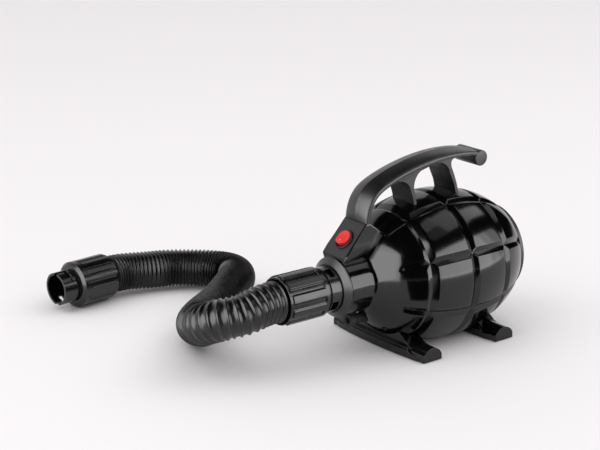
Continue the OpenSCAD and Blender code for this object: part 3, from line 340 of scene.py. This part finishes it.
# tangent is how far the fillet reaches along the neck and along the nose from where they would meet.
tangent = 4.2
fillet_r = tangent / math.tan(nose_slope / 2)
fillet_x = nose_x - (nose_r - neck_r) / math.tan(nose_slope) - tangent
fillet_turn, nose_share = np.linspace(0, nose_slope, 8), np.linspace(0, 1, 17)
barrel_x = groove_rows()
rows_x = np.concatenate([
    [neck_x, neck_x + 0.7, neck_x + 0.8, neck_x + 1.1], np.linspace(neck_x + 2, fillet_x, 8)[:-1],
    fillet_x + fillet_r * np.sin(fillet_turn), nose_x + nose_len * nose_share, barrel_x,
    [rim_x - 0.4, rim_x]])
rows_base = np.concatenate([
    [neck_r - 1.2, neck_r - 1.2, neck_r - 0.25, neck_r], np.full(7, neck_r),
    neck_r + fillet_r * (1 - np.cos(fillet_turn)),
    nose_r + (crease_r - nose_r) * (0.75 * nose_share + 0.25 * np.sin(nose_share * np.pi / 2)),
    egg(barrel_x), [egg(rim_x - 0.4) - 0.1, rim_r - 0.5]])
print("barrel rows", len(rows_x), "from", rows_x[0], "to", rows_x[-1])

# %% Barrel shell
def soft_v(distance, depth):
    """A V groove: depth minus the wall's slope times the distance, rounded at the rim over e mm."""
    e = 0.3
    g = depth - np.abs(distance) * groove_depth / groove_half
    return (g + np.sqrt(g * g + e * e)) / 2 * np.clip(depth / groove_depth, 0, 1)


def column_angles(radius):
    """Angles from the top for every row: fixed mm offsets beside a groove, even steps between."""
    blocks, last = [], np.zeros_like(radius)
    for angle in groove_angle:
        low, high = angle - groove_near / radius, angle + groove_near / radius
        blocks.append(last[:, None] + (low - last)[:, None] * np.linspace(0, 1, 9)[:-1])
        blocks.append(angle + groove_steps[:-1] / radius[:, None])
        last = high
    blocks.append(last[:, None] + (np.pi - last)[:, None] * np.linspace(0, 1, 9))
    return np.concatenate(blocks, 1)


def barrel_half(side):
    """Rings of one housing half: outer skin from top to bottom, then inner skin back to the top."""
    x, base = rows_x, rows_base
    angle = column_angles(base)
    ring_cut = np.max([soft_v(x - c, np.full_like(x, groove_depth)) for c in ring_x], axis=0)
    ring_cut = np.where(x > crease_x, ring_cut, 0)
    long_depth = groove_depth * np.clip((x - crease_x + 5.3) / 6.3, 0, 1)
    long_cut = np.max(
        [soft_v(base[:, None] * (angle - a), long_depth[:, None]) for a in groove_angle], axis=0)
    radius = base[:, None] - np.maximum(ring_cut[:, None], long_cut)
    lowest = np.where(np.abs(x - 65.2) < 19.8, 6.0, 2.5)[:, None]
    y = np.maximum(radius * np.sin(angle), 0.12)
    z = np.maximum(axis_z + radius * np.cos(angle), lowest)
    cone_end = crease_x + 3
    cone = np.interp(x, [fillet_x, cone_end], [neck_bore_r, float(egg(cone_end)) - skin_wall])
    inner = np.where(x < cone_end, cone, base - skin_wall)
    inner[-1] = inner[-2]
    iy = np.maximum(inner[:, None] * np.sin(angle), 0.12)
    iz = np.maximum(axis_z + inner[:, None] * np.cos(angle), lowest + 3)
    outer = np.stack([np.repeat(x[:, None], angle.shape[1], 1), side * y, z], -1)
    back = np.stack([np.repeat(x[:, None], angle.shape[1], 1), side * iy, iz], -1)[:, ::-1]
    rings = np.concatenate([outer, back], 1)
    rows, cols = rings.shape[:2]
    n = cols // 2
    j = np.arange(n - 1)
    end = np.stack([j, j + 1, cols - 2 - j, cols - 1 - j], -1)
    faces = np.vstack([ring_quads(rows, cols), end, end + (rows - 1) * cols])
    return rings.reshape(-1, 3), faces


# %% [markdown]
# ## The switch tower
# The sloping switch plate sits on a tower that grows out of the neck. Seen from the side its outline
# is the plate's slope, a short land for the handle, and a back slope that runs into the barrel. Its
# flanks swell and draw in again on the way down: half width is a function of height alone, drawn as
# a smooth curve through a few measured heights. Each row of the grid is a ring: recess, land beside
# the plate, flank down into the barrel, and back.

# %% Tower surface
slope = math.radians(48.4)
plate_low = np.array([neck_x + 0.3, axis_z + 34.2])
plate_len, plate_half, plate_t = 43.8, 16.1, 2.4
slope_dir = np.array([math.cos(slope), math.sin(slope)])
slope_out = np.array([-math.sin(slope), math.cos(slope)])
plate_top = plate_low + plate_len * slope_dir


def flank_half(z):
    """Half width of the tower at height z: straight runs between measured heights, then smoothed."""
    heights = plate_low[1] + np.array([-24, -18.4, -7.2, -4.2, -1.2, 3.8, 7.8, 15.8, 22.8, 32.8, 40])
    widths = 17.9 + np.array([-4.1, -3.9, -2.1, -0.9, 0.7, 1.4, 1.6, 0.7, 0.3, 0, 0])
    return sum(np.interp(z + d, heights, widths) for d in (-2, -1, 0, 1, 2)) / 5


def tower_half(side):
    """Rings of half the tower: the points of each row run across its top and down its flank."""
    along = np.concatenate([np.linspace(0, plate_len, 12), [plate_len + 0.01]])
    ridge = plate_low + along[:, None] * slope_dir
    back = np.array([[plate_top[0] + 5, plate_top[1]], [plate_top[0] + 22, axis_z + 54]])
    land = plate_top + np.outer(np.linspace(0.3, 1, 4), [5, 0])
    fall = back[0] + np.linspace(0, 1, 10)[1:, None] * (back[1] - back[0])
    ridge = np.vstack([ridge, land, fall])
    recessed = np.zeros(len(ridge))
    recessed[:12] = plate_t + 0.1
    bed = ridge - recessed[:, None] * slope_out
    gap = plate_half + 0.25
    rings = [np.stack([bed[:, 0], np.full(len(ridge), 0.12), bed[:, 1]], -1),
             np.stack([bed[:, 0], np.full(len(ridge), gap), bed[:, 1]], -1),
             np.stack([ridge[:, 0], np.full(len(ridge), gap), ridge[:, 1]], -1)]
    rings.append(np.stack([ridge[:, 0], flank_half(ridge[:, 1]) - 0.25, ridge[:, 1]], -1))
    rings.append(np.stack([ridge[:, 0], flank_half(ridge[:, 1]), ridge[:, 1] - 0.25], -1))
    root = axis_z + 14.0
    for v in np.linspace(0, 1, 26)[1:]:
        z = ridge[:, 1] + (root - ridge[:, 1]) * v
        rings.append(np.stack([ridge[:, 0], flank_half(z), z - 0.25 * (1 - v)], -1))
    rings.append(np.stack([ridge[:, 0], np.full(len(ridge), 0.12), np.full(len(ridge), root)], -1))
    rings = np.stack(rings, 1)
    rings[..., 1] *= side
    return loops(rings)


housing = {}
for side, word in ((1, "left"), (-1, "right")):
    housing[word] = piece(
        f"housing_shell_{word}", [barrel_half(side), tower_half(side)], "body",
        [f"housing_{word}"], sharp=50)

# %% [markdown]
# ## The rocker switch
# A round rocker is moulded in red plastic with a hollow face, a fine grip wave round its edge, and
# the two marks every switch has: a ring for off and a bar for on. It is a disc in polar form whose
# height depends on the place along the slope, z = 4.7 + 26 - sqrt(26^2 - x^2), so the face is part of
# a cylinder. The bezel round it is a small turned ring with a full radius.

# %% Rocker button
switch_centre = plate_low + 20.5 * slope_dir
tilt = math.radians(11)
pivot_depth, face_rise, face_r, button_r = 1.5, 4.7, 26.0, 8.45


def on_rocker(local):
    """From the button's own frame (x up the slope, z outwards) to the model, tilted by 11 degrees."""
    x = local[..., 0] * math.cos(tilt) + local[..., 2] * math.sin(tilt)
    out = local[..., 2] * math.cos(tilt) - local[..., 0] * math.sin(tilt) - pivot_depth
    return np.stack([switch_centre[0] + x * slope_dir[0] + out * slope_out[0], local[..., 1],
                     switch_centre[1] + x * slope_dir[1] + out * slope_out[1]], -1)


def face_height(x):
    """Height of the hollow face above the pivot: a cylinder of radius face_r, cut off at the rim."""
    return np.minimum(face_rise + face_r - np.sqrt(face_r**2 - x**2), 5.85)


def button():
    """Polar rows: up the waved side, over a small radius, and across the hollow face."""
    w = np.linspace(0, 2 * np.pi, 141)[:-1]
    wave = button_r + 0.2 * np.cos(28 * w)
    share = np.concatenate([[1, 1, 1, 0.985, 0.955, 0.91], np.linspace(0.85, 0.06, 9)])
    drop = np.array([9.0, 3.0, 0.55, 0.2, 0.03] + [0.0] * 10)
    radius = np.where(share[:, None] > 0.9, wave, button_r) * share[:, None]
    x, y = radius * np.cos(w), radius * np.sin(w)
    z = face_height(x) - drop[:, None]
    z[0] = -3.9
    return loops(on_rocker(np.stack([x, y, z], -1)))


def printed(centre, outline, inner=None):
    """A mark 0.12 mm proud of the face, from an outline round its centre. With an inner outline it is
    a ring. Known fault: the ring isn't passed through on_rocker, so it stays near the origin."""
    levels = np.array([-0.3, 0.12])
    outer = outline + centre
    loop_points = [
        np.stack([outer[:, 0], outer[:, 1], face_height(outer[:, 0]) + d], -1) for d in levels]
    if inner is None:
        return loops(on_rocker(np.stack(loop_points)))
    hole = inner + centre
    back = [np.stack([hole[:, 0], hole[:, 1], face_height(hole[:, 0]) + d], -1) for d in levels[::-1]]
    rings = np.stack([*loop_points, *back, loop_points[0]])
    return rings, ring_quads(len(rings), rings.shape[1])


rocker_button = piece("rocker_button", [button()], "rocker", ["switch_rocker"], sharp=60)
ring_turn = np.linspace(0, 2 * np.pi, 49)[:-1]
circle = np.stack([np.cos(ring_turn), np.sin(ring_turn)], -1)
bar = np.array([[-1.3, -0.22], [1.3, -0.22], [1.3, 0.22], [-1.3, 0.22]])
mark_ring = piece(
    "mark_off", [printed(np.array([3.6, -0.9]), 1.7 * circle, 1.05 * circle)], "rocker")
mark_bar = piece("mark_on", [printed(np.array([-4.2, 0.6]), bar)], "rocker")

# %% Bezel
def bezel():
    """A ring turned about the switch's axis: a flat foot and a half-round top 1.7 mm high."""
    a = np.radians(np.linspace(0, 180, 11))
    top = np.stack([10.6 + 0.95 * np.cos(a), 0.75 + 0.92 * np.sin(a)], -1)
    profile = np.concatenate([[[11.55, 0.05]], top, [[9.65, 0.05], [9.62, -0.4], [11.5, -0.4]]])
    w = np.linspace(0, 2 * np.pi, 97)[:-1]
    x, y = profile[:, :1] * np.cos(w), profile[:, :1] * np.sin(w)
    out = np.repeat(profile[:, 1:], len(w), 1)
    ring = np.stack([switch_centre[0] + x * slope_dir[0] + out * slope_out[0], y,
                     switch_centre[1] + x * slope_dir[1] + out * slope_out[1]], -1)
    ring = np.concatenate([ring, ring[:1]])
    return ring, ring_quads(len(ring), len(w))


bezel_ring = piece("switch_bezel", [bezel()], "body", sharp=60)

# %% [markdown]
# ## The handle
# The grip is a section carried along a B-spline: a flat underside, square edges with small radii,
# and a low ridge along the middle. It rises from the tower's land, runs level over the barrel and
# ends in a round bar. Two thin posts with curved webs hold it. Each half of the handle is made
# alone, because the real one is screwed together along the ridge.

# %% Grip surface
grip_route = plate_top + np.array([
    [-1, -16], [0, -1], [2, 14], [11, 30], [28, 39], [56, 48], [86, 54], [116, 56.5], [146, 55],
    [164, 51], [182, 45]], float)
grip_half, grip_crown, corner_t = 18.0, 5.0, 0.944


def grip(side):
    """Rings of half the grip: underside, rounded edge, then the sloping top up to the ridge."""
    line = bspline(np.column_stack([grip_route, np.zeros(len(grip_route))]), 12)[:, :2]
    ahead = np.gradient(line, axis=0)
    ahead /= np.linalg.norm(ahead, axis=1)[:, None]
    out = np.stack([-ahead[:, 1], ahead[:, 0]], -1)
    share = np.linspace(0, 1, len(line))
    crown = grip_crown * np.clip(np.sin(np.pi * share**0.7), 0, 1) ** 0.6
    edge = np.array([[0.12, -4.6], [9, -4.6], [16.8, -4.6], [17.5, -4.4], [17.85, -4.05], [18, -3.5],
                     [18, -1.6], [17.9, -1.0], [17.6, -0.45], [17.0, 0.0]])
    across = np.linspace(15.8, 0.12, 12)
    t = across / grip_half
    top = 1 - 0.62 * t - 0.38 * t**3
    y = np.concatenate([edge[:, 0], across])
    height = np.concatenate(
        [np.repeat(edge[None, :, 1], len(line), 0), crown[:, None] * top + 0.05], 1)
    height[:, 9] = np.minimum(crown * (1 - 0.62 * corner_t - 0.38 * corner_t**3), 0.4)
    flat = line[:, None] + height[..., None] * out[:, None]
    z = np.maximum(flat[..., 1], plate_top[1] + 0.25)
    rings = np.stack([flat[..., 0], np.broadcast_to(side * y, z.shape), z], -1)
    return loops(rings)


def end_bar(side):
    """The round bar: circles across the grip, drawn in at its end by a 1.2 mm radius."""
    w = np.linspace(0, 2 * np.pi, 49)[:-1]
    a = np.linspace(0, np.pi / 2, 6)
    y = np.concatenate([[0.12, 8], 17.1 + 1.2 * np.sin(a)])
    r = np.concatenate([[8.7, 8.7], 7.5 + 1.2 * np.cos(a)])
    centre = plate_top + [160.6, 45]
    across = np.broadcast_to(side * y[:, None], (len(y), len(w)))
    return loops(np.stack([centre[0] + r[:, None] * np.cos(w), across,
                           centre[1] + r[:, None] * np.sin(w)], -1))


# %% Posts and webs
post_x = plate_top[0] + np.array([68.4, 128.1])


def post_line(i, z):
    """Middle of post i: it leans forward more and more as it rises."""
    h = z - plate_top[1]
    return np.stack([post_x[i] - 0.08 * h - 0.005 * h * h, z], -1)


def flank(i, turn, centre, r, a0, a1, toe):
    """One side of post i from the barrel to the grip: its own face, then the web's arc."""
    z = np.linspace(axis_z + barrel_r - 14, plate_top[1] + toe, 12)
    face = post_line(i, z) + [turn * 1.8, 0]
    a = np.radians(np.linspace(a1, a0, 20))
    curve = plate_top + centre + r * np.stack([np.cos(a), np.sin(a)], -1)
    return np.vstack([face, curve, curve[-1] + [0, 3]])


def post(i, front, rear, side):
    """Rings of one post with both webs: four corners in each row, rising from barrel to grip."""
    left, right_ = flank(i, -1, *front), flank(i, 1, *rear)
    y0, y1 = 0.12 * side, (grip_half - 0.6) * side
    corners = ((left, y0), (right_, y0), (right_, y1), (left, y1))
    return loops(np.stack([np.insert(edge, 1, y, axis=1) for edge, y in corners], 1))


webs = [((np.array([45.4, 21.8]), 16, 95, 10, 16), (np.array([84.5, 28.5]), 19.5, 85, 185, 18)),
        ((np.array([97.8, 31.4]), 18.6, 95, 12, 22), (np.array([121.6, 46.6]), 4.4, 85, 190, 42))]
for side, word in ((1, "left"), (-1, "right")):
    parts = [grip(side), end_bar(side)] + [post(i, *webs[i], side) for i in (0, 1)]
    obj = piece(f"handle_shell_{word}", parts, "body", [f"handle_{word}"], sharp=38)
    bevel = obj.modifiers.new("moulded_edges", "BEVEL")
    bevel.width, bevel.segments = 0.5 * MM, 2
    bevel.limit_method, bevel.angle_limit = "ANGLE", math.radians(50)

# %% [markdown]
# ## Materials
# Every material starts from what the real one is. One function turns a hex colour to Blender's
# linear numbers, and one adds a node, sets its values and makes its links. Numbers that are the same
# all over a surface go straight into the shader's own sockets.

# %% Material helpers
def linear(code, alpha=1.0):
    """sRGB hex to linear: c/12.92 below 0.04045, else ((c + 0.055)/1.055)^2.4."""
    c = np.array([int(code[i:i + 2], 16) for i in (1, 3, 5)]) / 255
    c = np.where(c <= 0.04045, c / 12.92, ((c + 0.055) / 1.055) ** 2.4)
    return (*c.tolist(), alpha)


def add(tree, kind, inputs=None, **settings):
    """Adds a node. settings are its properties; inputs are values, or sockets to link from."""
    node = tree.nodes.new(kind)
    for key, value in settings.items():
        setattr(node, key, value)
    for key, value in (inputs or {}).items():
        if isinstance(value, bpy.types.NodeSocket):
            tree.links.new(value, node.inputs[key])
        else:
            node.inputs[key].default_value = value
    return node


def finish(name, colour, roughness, metallic=0.0, ior=1.5, grain=0.4, bump=0.02, rough_change=0.05,
           tint=0.06, soft_edge=0.0):
    """A moulded, cast or rolled finish: noise of real size (mm) in its tint, gloss and surface."""
    material = bpy.data.materials.new(name)
    material.use_nodes = True
    tree = material.node_tree
    shader = tree.nodes["Principled BSDF"]
    shader.inputs["Metallic"].default_value = metallic
    shader.inputs["IOR"].default_value = ior
    where = add(tree, "ShaderNodeTexCoord").outputs["Object"]
    noise = add(tree, "ShaderNodeTexNoise", {"Vector": where, "Scale": 1 / (grain * MM), "Detail": 3.0})
    cloud = add(tree, "ShaderNodeTexNoise", {"Vector": where, "Scale": 1 / (18 * MM), "Detail": 2.0})
    spread = add(tree, "ShaderNodeMapRange", {
        "Value": cloud.outputs["Fac"], "From Min": 0.3, "From Max": 0.7,
        "To Min": max(0.02, roughness - rough_change), "To Max": roughness + rough_change})
    dark, light = ((*[v * change for v in linear(colour)[:3]], 1) for change in (1 - tint, 1 + tint))
    colours = add(tree, "ShaderNodeMix", {"Factor": noise.outputs["Fac"], "A": dark, "B": light},
                  data_type="RGBA")
    tree.links.new(colours.outputs[2], shader.inputs["Base Color"])
    tree.links.new(spread.outputs["Result"], shader.inputs["Roughness"])
    inputs = {"Height": noise.outputs["Fac"], "Strength": bump, "Distance": 0.2 * MM}
    if soft_edge:
        # A real edge has a small radius. This shades one of that size onto a sharp CAD edge.
        round_edge = add(tree, "ShaderNodeBevel", {"Radius": soft_edge * MM}, samples=6)
        inputs["Normal"] = round_edge.outputs["Normal"]
    relief = add(tree, "ShaderNodeBump", inputs)
    tree.links.new(relief.outputs["Normal"], shader.inputs["Normal"])
    return material


def wear(obj, material):
    """Puts one material on a piece or a CAD node."""
    obj.data.materials.clear()
    obj.data.materials.append(material)


# %% [markdown]
# Polished ABS is black with a wet shine: the tool was polished, so only a faint waviness is left.
# Handle and plate are the same ABS from a spark-eroded tool, which leaves a fine satin grain. The
# hose is blow-moulded EVA, softer and duller.

# %% Plastics
gloss_black, cuff_black = "#050506", "#060607"
gloss_abs = finish("gloss_black_abs", gloss_black, 0.13, ior=1.48, grain=2.5, bump=0.004,
                   rough_change=0.02)
gloss_abs_edged = finish("gloss_black_abs_edged", gloss_black, 0.14, ior=1.48, grain=2.5, bump=0.004,
                         rough_change=0.02, soft_edge=0.7)
satin_abs = finish("satin_black_abs", "#141415", 0.36, ior=1.55, grain=0.45, bump=0.05)
satin_edged = finish("satin_black_abs_edged", "#101011", 0.38, ior=1.55, grain=0.45, bump=0.05,
                     soft_edge=0.5)
collar_abs = finish("satin_collar_abs", "#161617", 0.34, ior=1.55, grain=0.45, bump=0.04, soft_edge=0.4)
cuff_abs = finish("cuff_black_abs", cuff_black, 0.24, ior=1.55, grain=0.8, bump=0.02)
cuff_edged = finish("cuff_black_abs_edged", cuff_black, 0.22, ior=1.55, grain=0.8, bump=0.02,
                    soft_edge=0.4)
hose_eva = finish("hose_black_eva", gloss_black, 0.3, grain=0.9, bump=0.03)
switch_black = finish("switch_black_nylon", "#0c0c0c", 0.22, grain=0.5, soft_edge=0.3)
switch_red = finish("switch_red_polycarbonate", "#e8231a", 0.3, grain=1.2, bump=0.02, tint=0.12,
                    soft_edge=0.5)
white_print = finish("white_pad_print", "#f3e9e6", 0.5, grain=0.6)
rubber = finish("black_rubber", "#141414", 0.75, grain=0.5, bump=0.1)
foam = finish("open_cell_foam", "#3b3d40", 0.95, grain=1.4, bump=0.9, tint=0.6)
carbon = finish("pressed_carbon", "#1a1a1a", 0.6)

# %% Metals
screw_steel = finish("zinc_plated_steel", "#b9bcbf", 0.32, metallic=1.0, grain=0.6, soft_edge=0.3)
motor_steel = finish("rolled_motor_steel", "#8d9194", 0.4, metallic=1.0, grain=0.8)
bearing_steel = finish("ground_bearing_steel", "#cfd1d3", 0.18, metallic=1.0, grain=0.3)
aluminium = finish("pressed_aluminium", "#c9ccd0", 0.35, metallic=1.0, grain=1.0)
copper = finish("enamelled_copper_wire", "#8a4a26", 0.35, metallic=1.0, grain=0.5, tint=0.3, bump=0.2)
segments = finish("turned_copper", "#c07f55", 0.25, metallic=1.0, grain=0.4)
brass = finish("pressed_brass", "#c9a64e", 0.3, metallic=1.0, grain=0.6)

# %% Dress the pieces
for word in ("left", "right"):
    wear(housing[word], gloss_abs)
    wear(bpy.data.objects[f"handle_shell_{word}"], satin_abs)
wear(hose, hose_eva)
wear(machine_sleeve, cuff_abs)
wear(outlet_sleeve, cuff_abs)
wear(rocker_button, switch_red)
wear(mark_ring, white_print)
wear(mark_bar, white_print)
wear(bezel_ring, switch_black)
dress = {
    "outlet_collar": collar_abs, "collar_seal": rubber, "switch_plate": satin_edged,
    "switch_body": switch_black, "switch_rocker": switch_red, "handle_screws": screw_steel,
    "foot_front": gloss_abs_edged, "foot_rear": gloss_abs_edged, "foot_pads": rubber,
    "foot_screws": screw_steel, "housing_screws": screw_steel, "cable_gland": rubber,
    "rear_cover": satin_edged, "cover_screws": screw_steel, "filter_foam": foam,
    "fan_casing": aluminium, "fan_ring_mount": rubber, "impeller": aluminium,
    "impeller_nut": screw_steel, "diffuser": aluminium, "motor_can": motor_steel,
    "motor_front_mount": rubber, "front_bearing": bearing_steel, "rear_bearing": bearing_steel,
    "stator_core": motor_steel, "field_coils": copper, "armature": copper, "commutator": segments,
    "motor_shaft": bearing_steel, "brush_holders": brass, "carbon_brushes": carbon,
    "machine_cuff_spigot": cuff_edged, "outlet_cuff_spigot": cuff_edged}
for name, material in dress.items():
    wear(nodes[name], material)
print("dressed", len(dress), "CAD nodes")

# %% [markdown]
# ## The studio
# Black gloss shows nothing but its surroundings, so the room is part of the material. The floor is a
# pale plane, and the world behind it has nearly the same tone. Black cloth hangs on the camera's side
# and overhead, and lies on the floor there, so that the plastic stays deep black between the
# highlights. Three groups of soft boxes make those: a wall standing to the right that fades towards
# its far end, a box in front of the nozzle, and a strip overhead that is brightest at its right end.
# The cloth is seen by mirror rays alone, so it takes no light from the floor and isn't in the picture.
# Two more lamps light the floor and the matt share of the surfaces, and mirror rays don't see them.

# %% Floor and world
floor_mesh = bpy.data.meshes.new("studio_floor")
floor_mesh.from_pydata([(-9, -9, 0), (9, -9, 0), (9, 9, 0), (-9, 9, 0)], [], [(0, 1, 2, 3)])
floor = bpy.data.objects.new("studio_floor", floor_mesh)
bpy.context.scene.collection.objects.link(floor)
paper = bpy.data.materials.new("white_paper_sweep")
paper.use_nodes = True
paper.node_tree.nodes["Principled BSDF"].inputs["Base Color"].default_value = linear("#f3f1f2")
paper.node_tree.nodes["Principled BSDF"].inputs["Roughness"].default_value = 0.9
paper.node_tree.nodes["Principled BSDF"].inputs["Specular IOR Level"].default_value = 0.1
wear(floor, paper)

world = bpy.data.worlds.new("studio")
bpy.context.scene.world = world
world.use_nodes = True
tree = world.node_tree
backdrop = tree.nodes["Background"]
backdrop.inputs["Color"].default_value = linear("#f4f2f3")
ray = add(tree, "ShaderNodeLightPath")
shown = ray.outputs["Is Camera Ray"]
for kind in ("Is Glossy Ray", "Is Transmission Ray"):
    shown = add(tree, "ShaderNodeMath", {0: shown, 1: ray.outputs[kind]}, operation="MAXIMUM").outputs[0]
world_level = add(tree, "ShaderNodeMapRange", {"Value": shown, "To Min": 0.95, "To Max": 1.0})
tree.links.new(world_level.outputs["Result"], backdrop.inputs["Strength"])

# %% Black cloth
velvet = bpy.data.materials.new("black_velvet")
velvet.use_nodes = True
velvet.node_tree.nodes["Principled BSDF"].inputs["Base Color"].default_value = linear("#0a0a0a")
velvet.node_tree.nodes["Principled BSDF"].inputs["Roughness"].default_value = 1.0
velvet.node_tree.nodes["Principled BSDF"].inputs["Specular IOR Level"].default_value = 0.0


def cloth(name, points, faces):
    """Black cloth that only mirror rays see."""
    mesh = bpy.data.meshes.new(name)
    mesh.from_pydata(points, [], faces)
    obj = bpy.data.objects.new(name, mesh)
    bpy.context.scene.collection.objects.link(obj)
    obj.visible_camera = obj.visible_diffuse = obj.visible_shadow = False
    obj.visible_transmission = obj.visible_volume_scatter = False
    wear(obj, velvet)


# The hung cloth is a dome cut into cells of 5 by 4 degrees. It is open at the back and the left,
# below 40 degrees.
cells, tiers, dome_r, open_tiers = 72, 22, 6, 10
dome_w, dome_h = np.meshgrid(
    np.linspace(0, 2 * np.pi, cells + 1)[:-1], np.radians(np.linspace(0, 88, tiers + 1)))
dome = dome_r * np.stack(
    [np.cos(dome_w) * np.cos(dome_h), np.sin(dome_w) * np.cos(dome_h), np.sin(dome_h)], -1)
cell_quads = ring_quads(tiers + 1, cells).reshape(tiers, cells, 4)
azimuths = (np.arange(cells) * 5 + 182.5) % 360 - 180
hung = ((azimuths > -150) & (azimuths < 27))[None] | (np.arange(tiers)[:, None] >= open_tiers)
crown = list(range(tiers * cells, (tiers + 1) * cells))
cloth("hung_cloth", dome.reshape(-1, 3).tolist(), cell_quads[hung].tolist() + [crown])

# The laid cloth is a fan between two azimuths, from 0.1 to 2.5 m out and 0.5 mm above the floor.
fan = np.radians([-132, -95])
rays = np.stack([np.cos(fan), np.sin(fan)], -1)
fan_near, fan_far = (np.array([-0.04, -0.06]) + reach * rays for reach in (0.1, 2.5))
fan_corners = (fan_near[0], fan_near[1], fan_far[1], fan_far[0])
cloth("laid_cloth", [(*corner, 0.0005) for corner in fan_corners], [(0, 1, 2, 3)])


# %% Lamps
def soft_box(name, centre, across, rise, size, radiance, glossy=True, diffuse=True):
    """An area lamp from its centre and its two edges' directions; it shines along rise x across.
    Power = radiance x pi x area, so that its glow stays when its size changes."""
    data = bpy.data.lights.new(name, "AREA")
    data.shape, data.size, data.size_y = "RECTANGLE", size[0], size[1]
    data.energy = radiance * math.pi * size[0] * size[1]
    lamp = bpy.data.objects.new(name, data)
    across, rise = np.asarray(across, float), np.asarray(rise, float)
    across, rise = across / np.linalg.norm(across), rise / np.linalg.norm(rise)
    axes = np.column_stack([across, rise, np.cross(across, rise)])
    lamp.matrix_world = Matrix(axes.tolist()).to_4x4()
    lamp.location = centre
    lamp.visible_camera = False
    lamp.visible_glossy, lamp.visible_diffuse = glossy, diffuse
    bpy.context.scene.collection.objects.link(lamp)
    return lamp


def wall_box(name, azimuth, distance, start, stop, top, radiance):
    """An upright box that faces the blower from an azimuth. It runs from start to stop towards
    growing azimuth, measured from its foot point, and from the floor to its top."""
    a = math.radians(azimuth)
    out, along = np.array([math.cos(a), math.sin(a), 0]), np.array([-math.sin(a), math.cos(a), 0])
    centre = (distance * out + (start + stop) / 2 * along + [0, 0, top / 2]).tolist()
    return soft_box(name, centre, along, (0, 0, 1), (stop - start, top), radiance, diffuse=False)


wall_box("right_box", -68, 1.1, -0.51, 0.62, 0.88, 4.7)
wall_box("right_box_middle", -68, 1.1, 0.62, 0.92, 0.88, 3.0)
wall_box("right_box_end", -68, 1.1, 0.92, 1.45, 0.88, 1.7)
wall_box("nozzle_box", 180, 1.1, -0.7, 0.8, 1.15, 4.8)
strip = np.array([math.cos(math.radians(26)), math.sin(math.radians(26)), 0])
strip_rise = (-strip[1], strip[0], 0)
for word, centre, size, radiance in (
        ("right", (1.42, -0.02, 1.28), (1.1, 0.44), 1.8),
        ("middle", (0.70, -0.31, 1.28), (0.62, 0.68), 1.1),
        ("left_back", (0.20, -0.30, 1.28), (0.48, 0.34), 0.85),
        ("left_front", (0.32, -0.68, 1.28), (0.6, 0.4), 0.33)):
    soft_box(f"roof_strip_{word}", centre, strip, strip_rise, size, radiance, diffuse=False)
for word, centre, across, rise in (
        ("left", (-1.8, 0.4, 2.2), (0.2, 1, 0), (-0.78, 0.15, -0.6)),
        ("right", (1.4, -1.2, 2.2), (-0.65, -0.76, 0), (0.6, -0.5, -0.62))):
    soft_box(f"floor_lamp_{word}", centre, across, rise, (2.4, 1.8), 1.05, glossy=False)

# %% View settings
bpy.context.scene.view_settings.view_transform = "Standard"
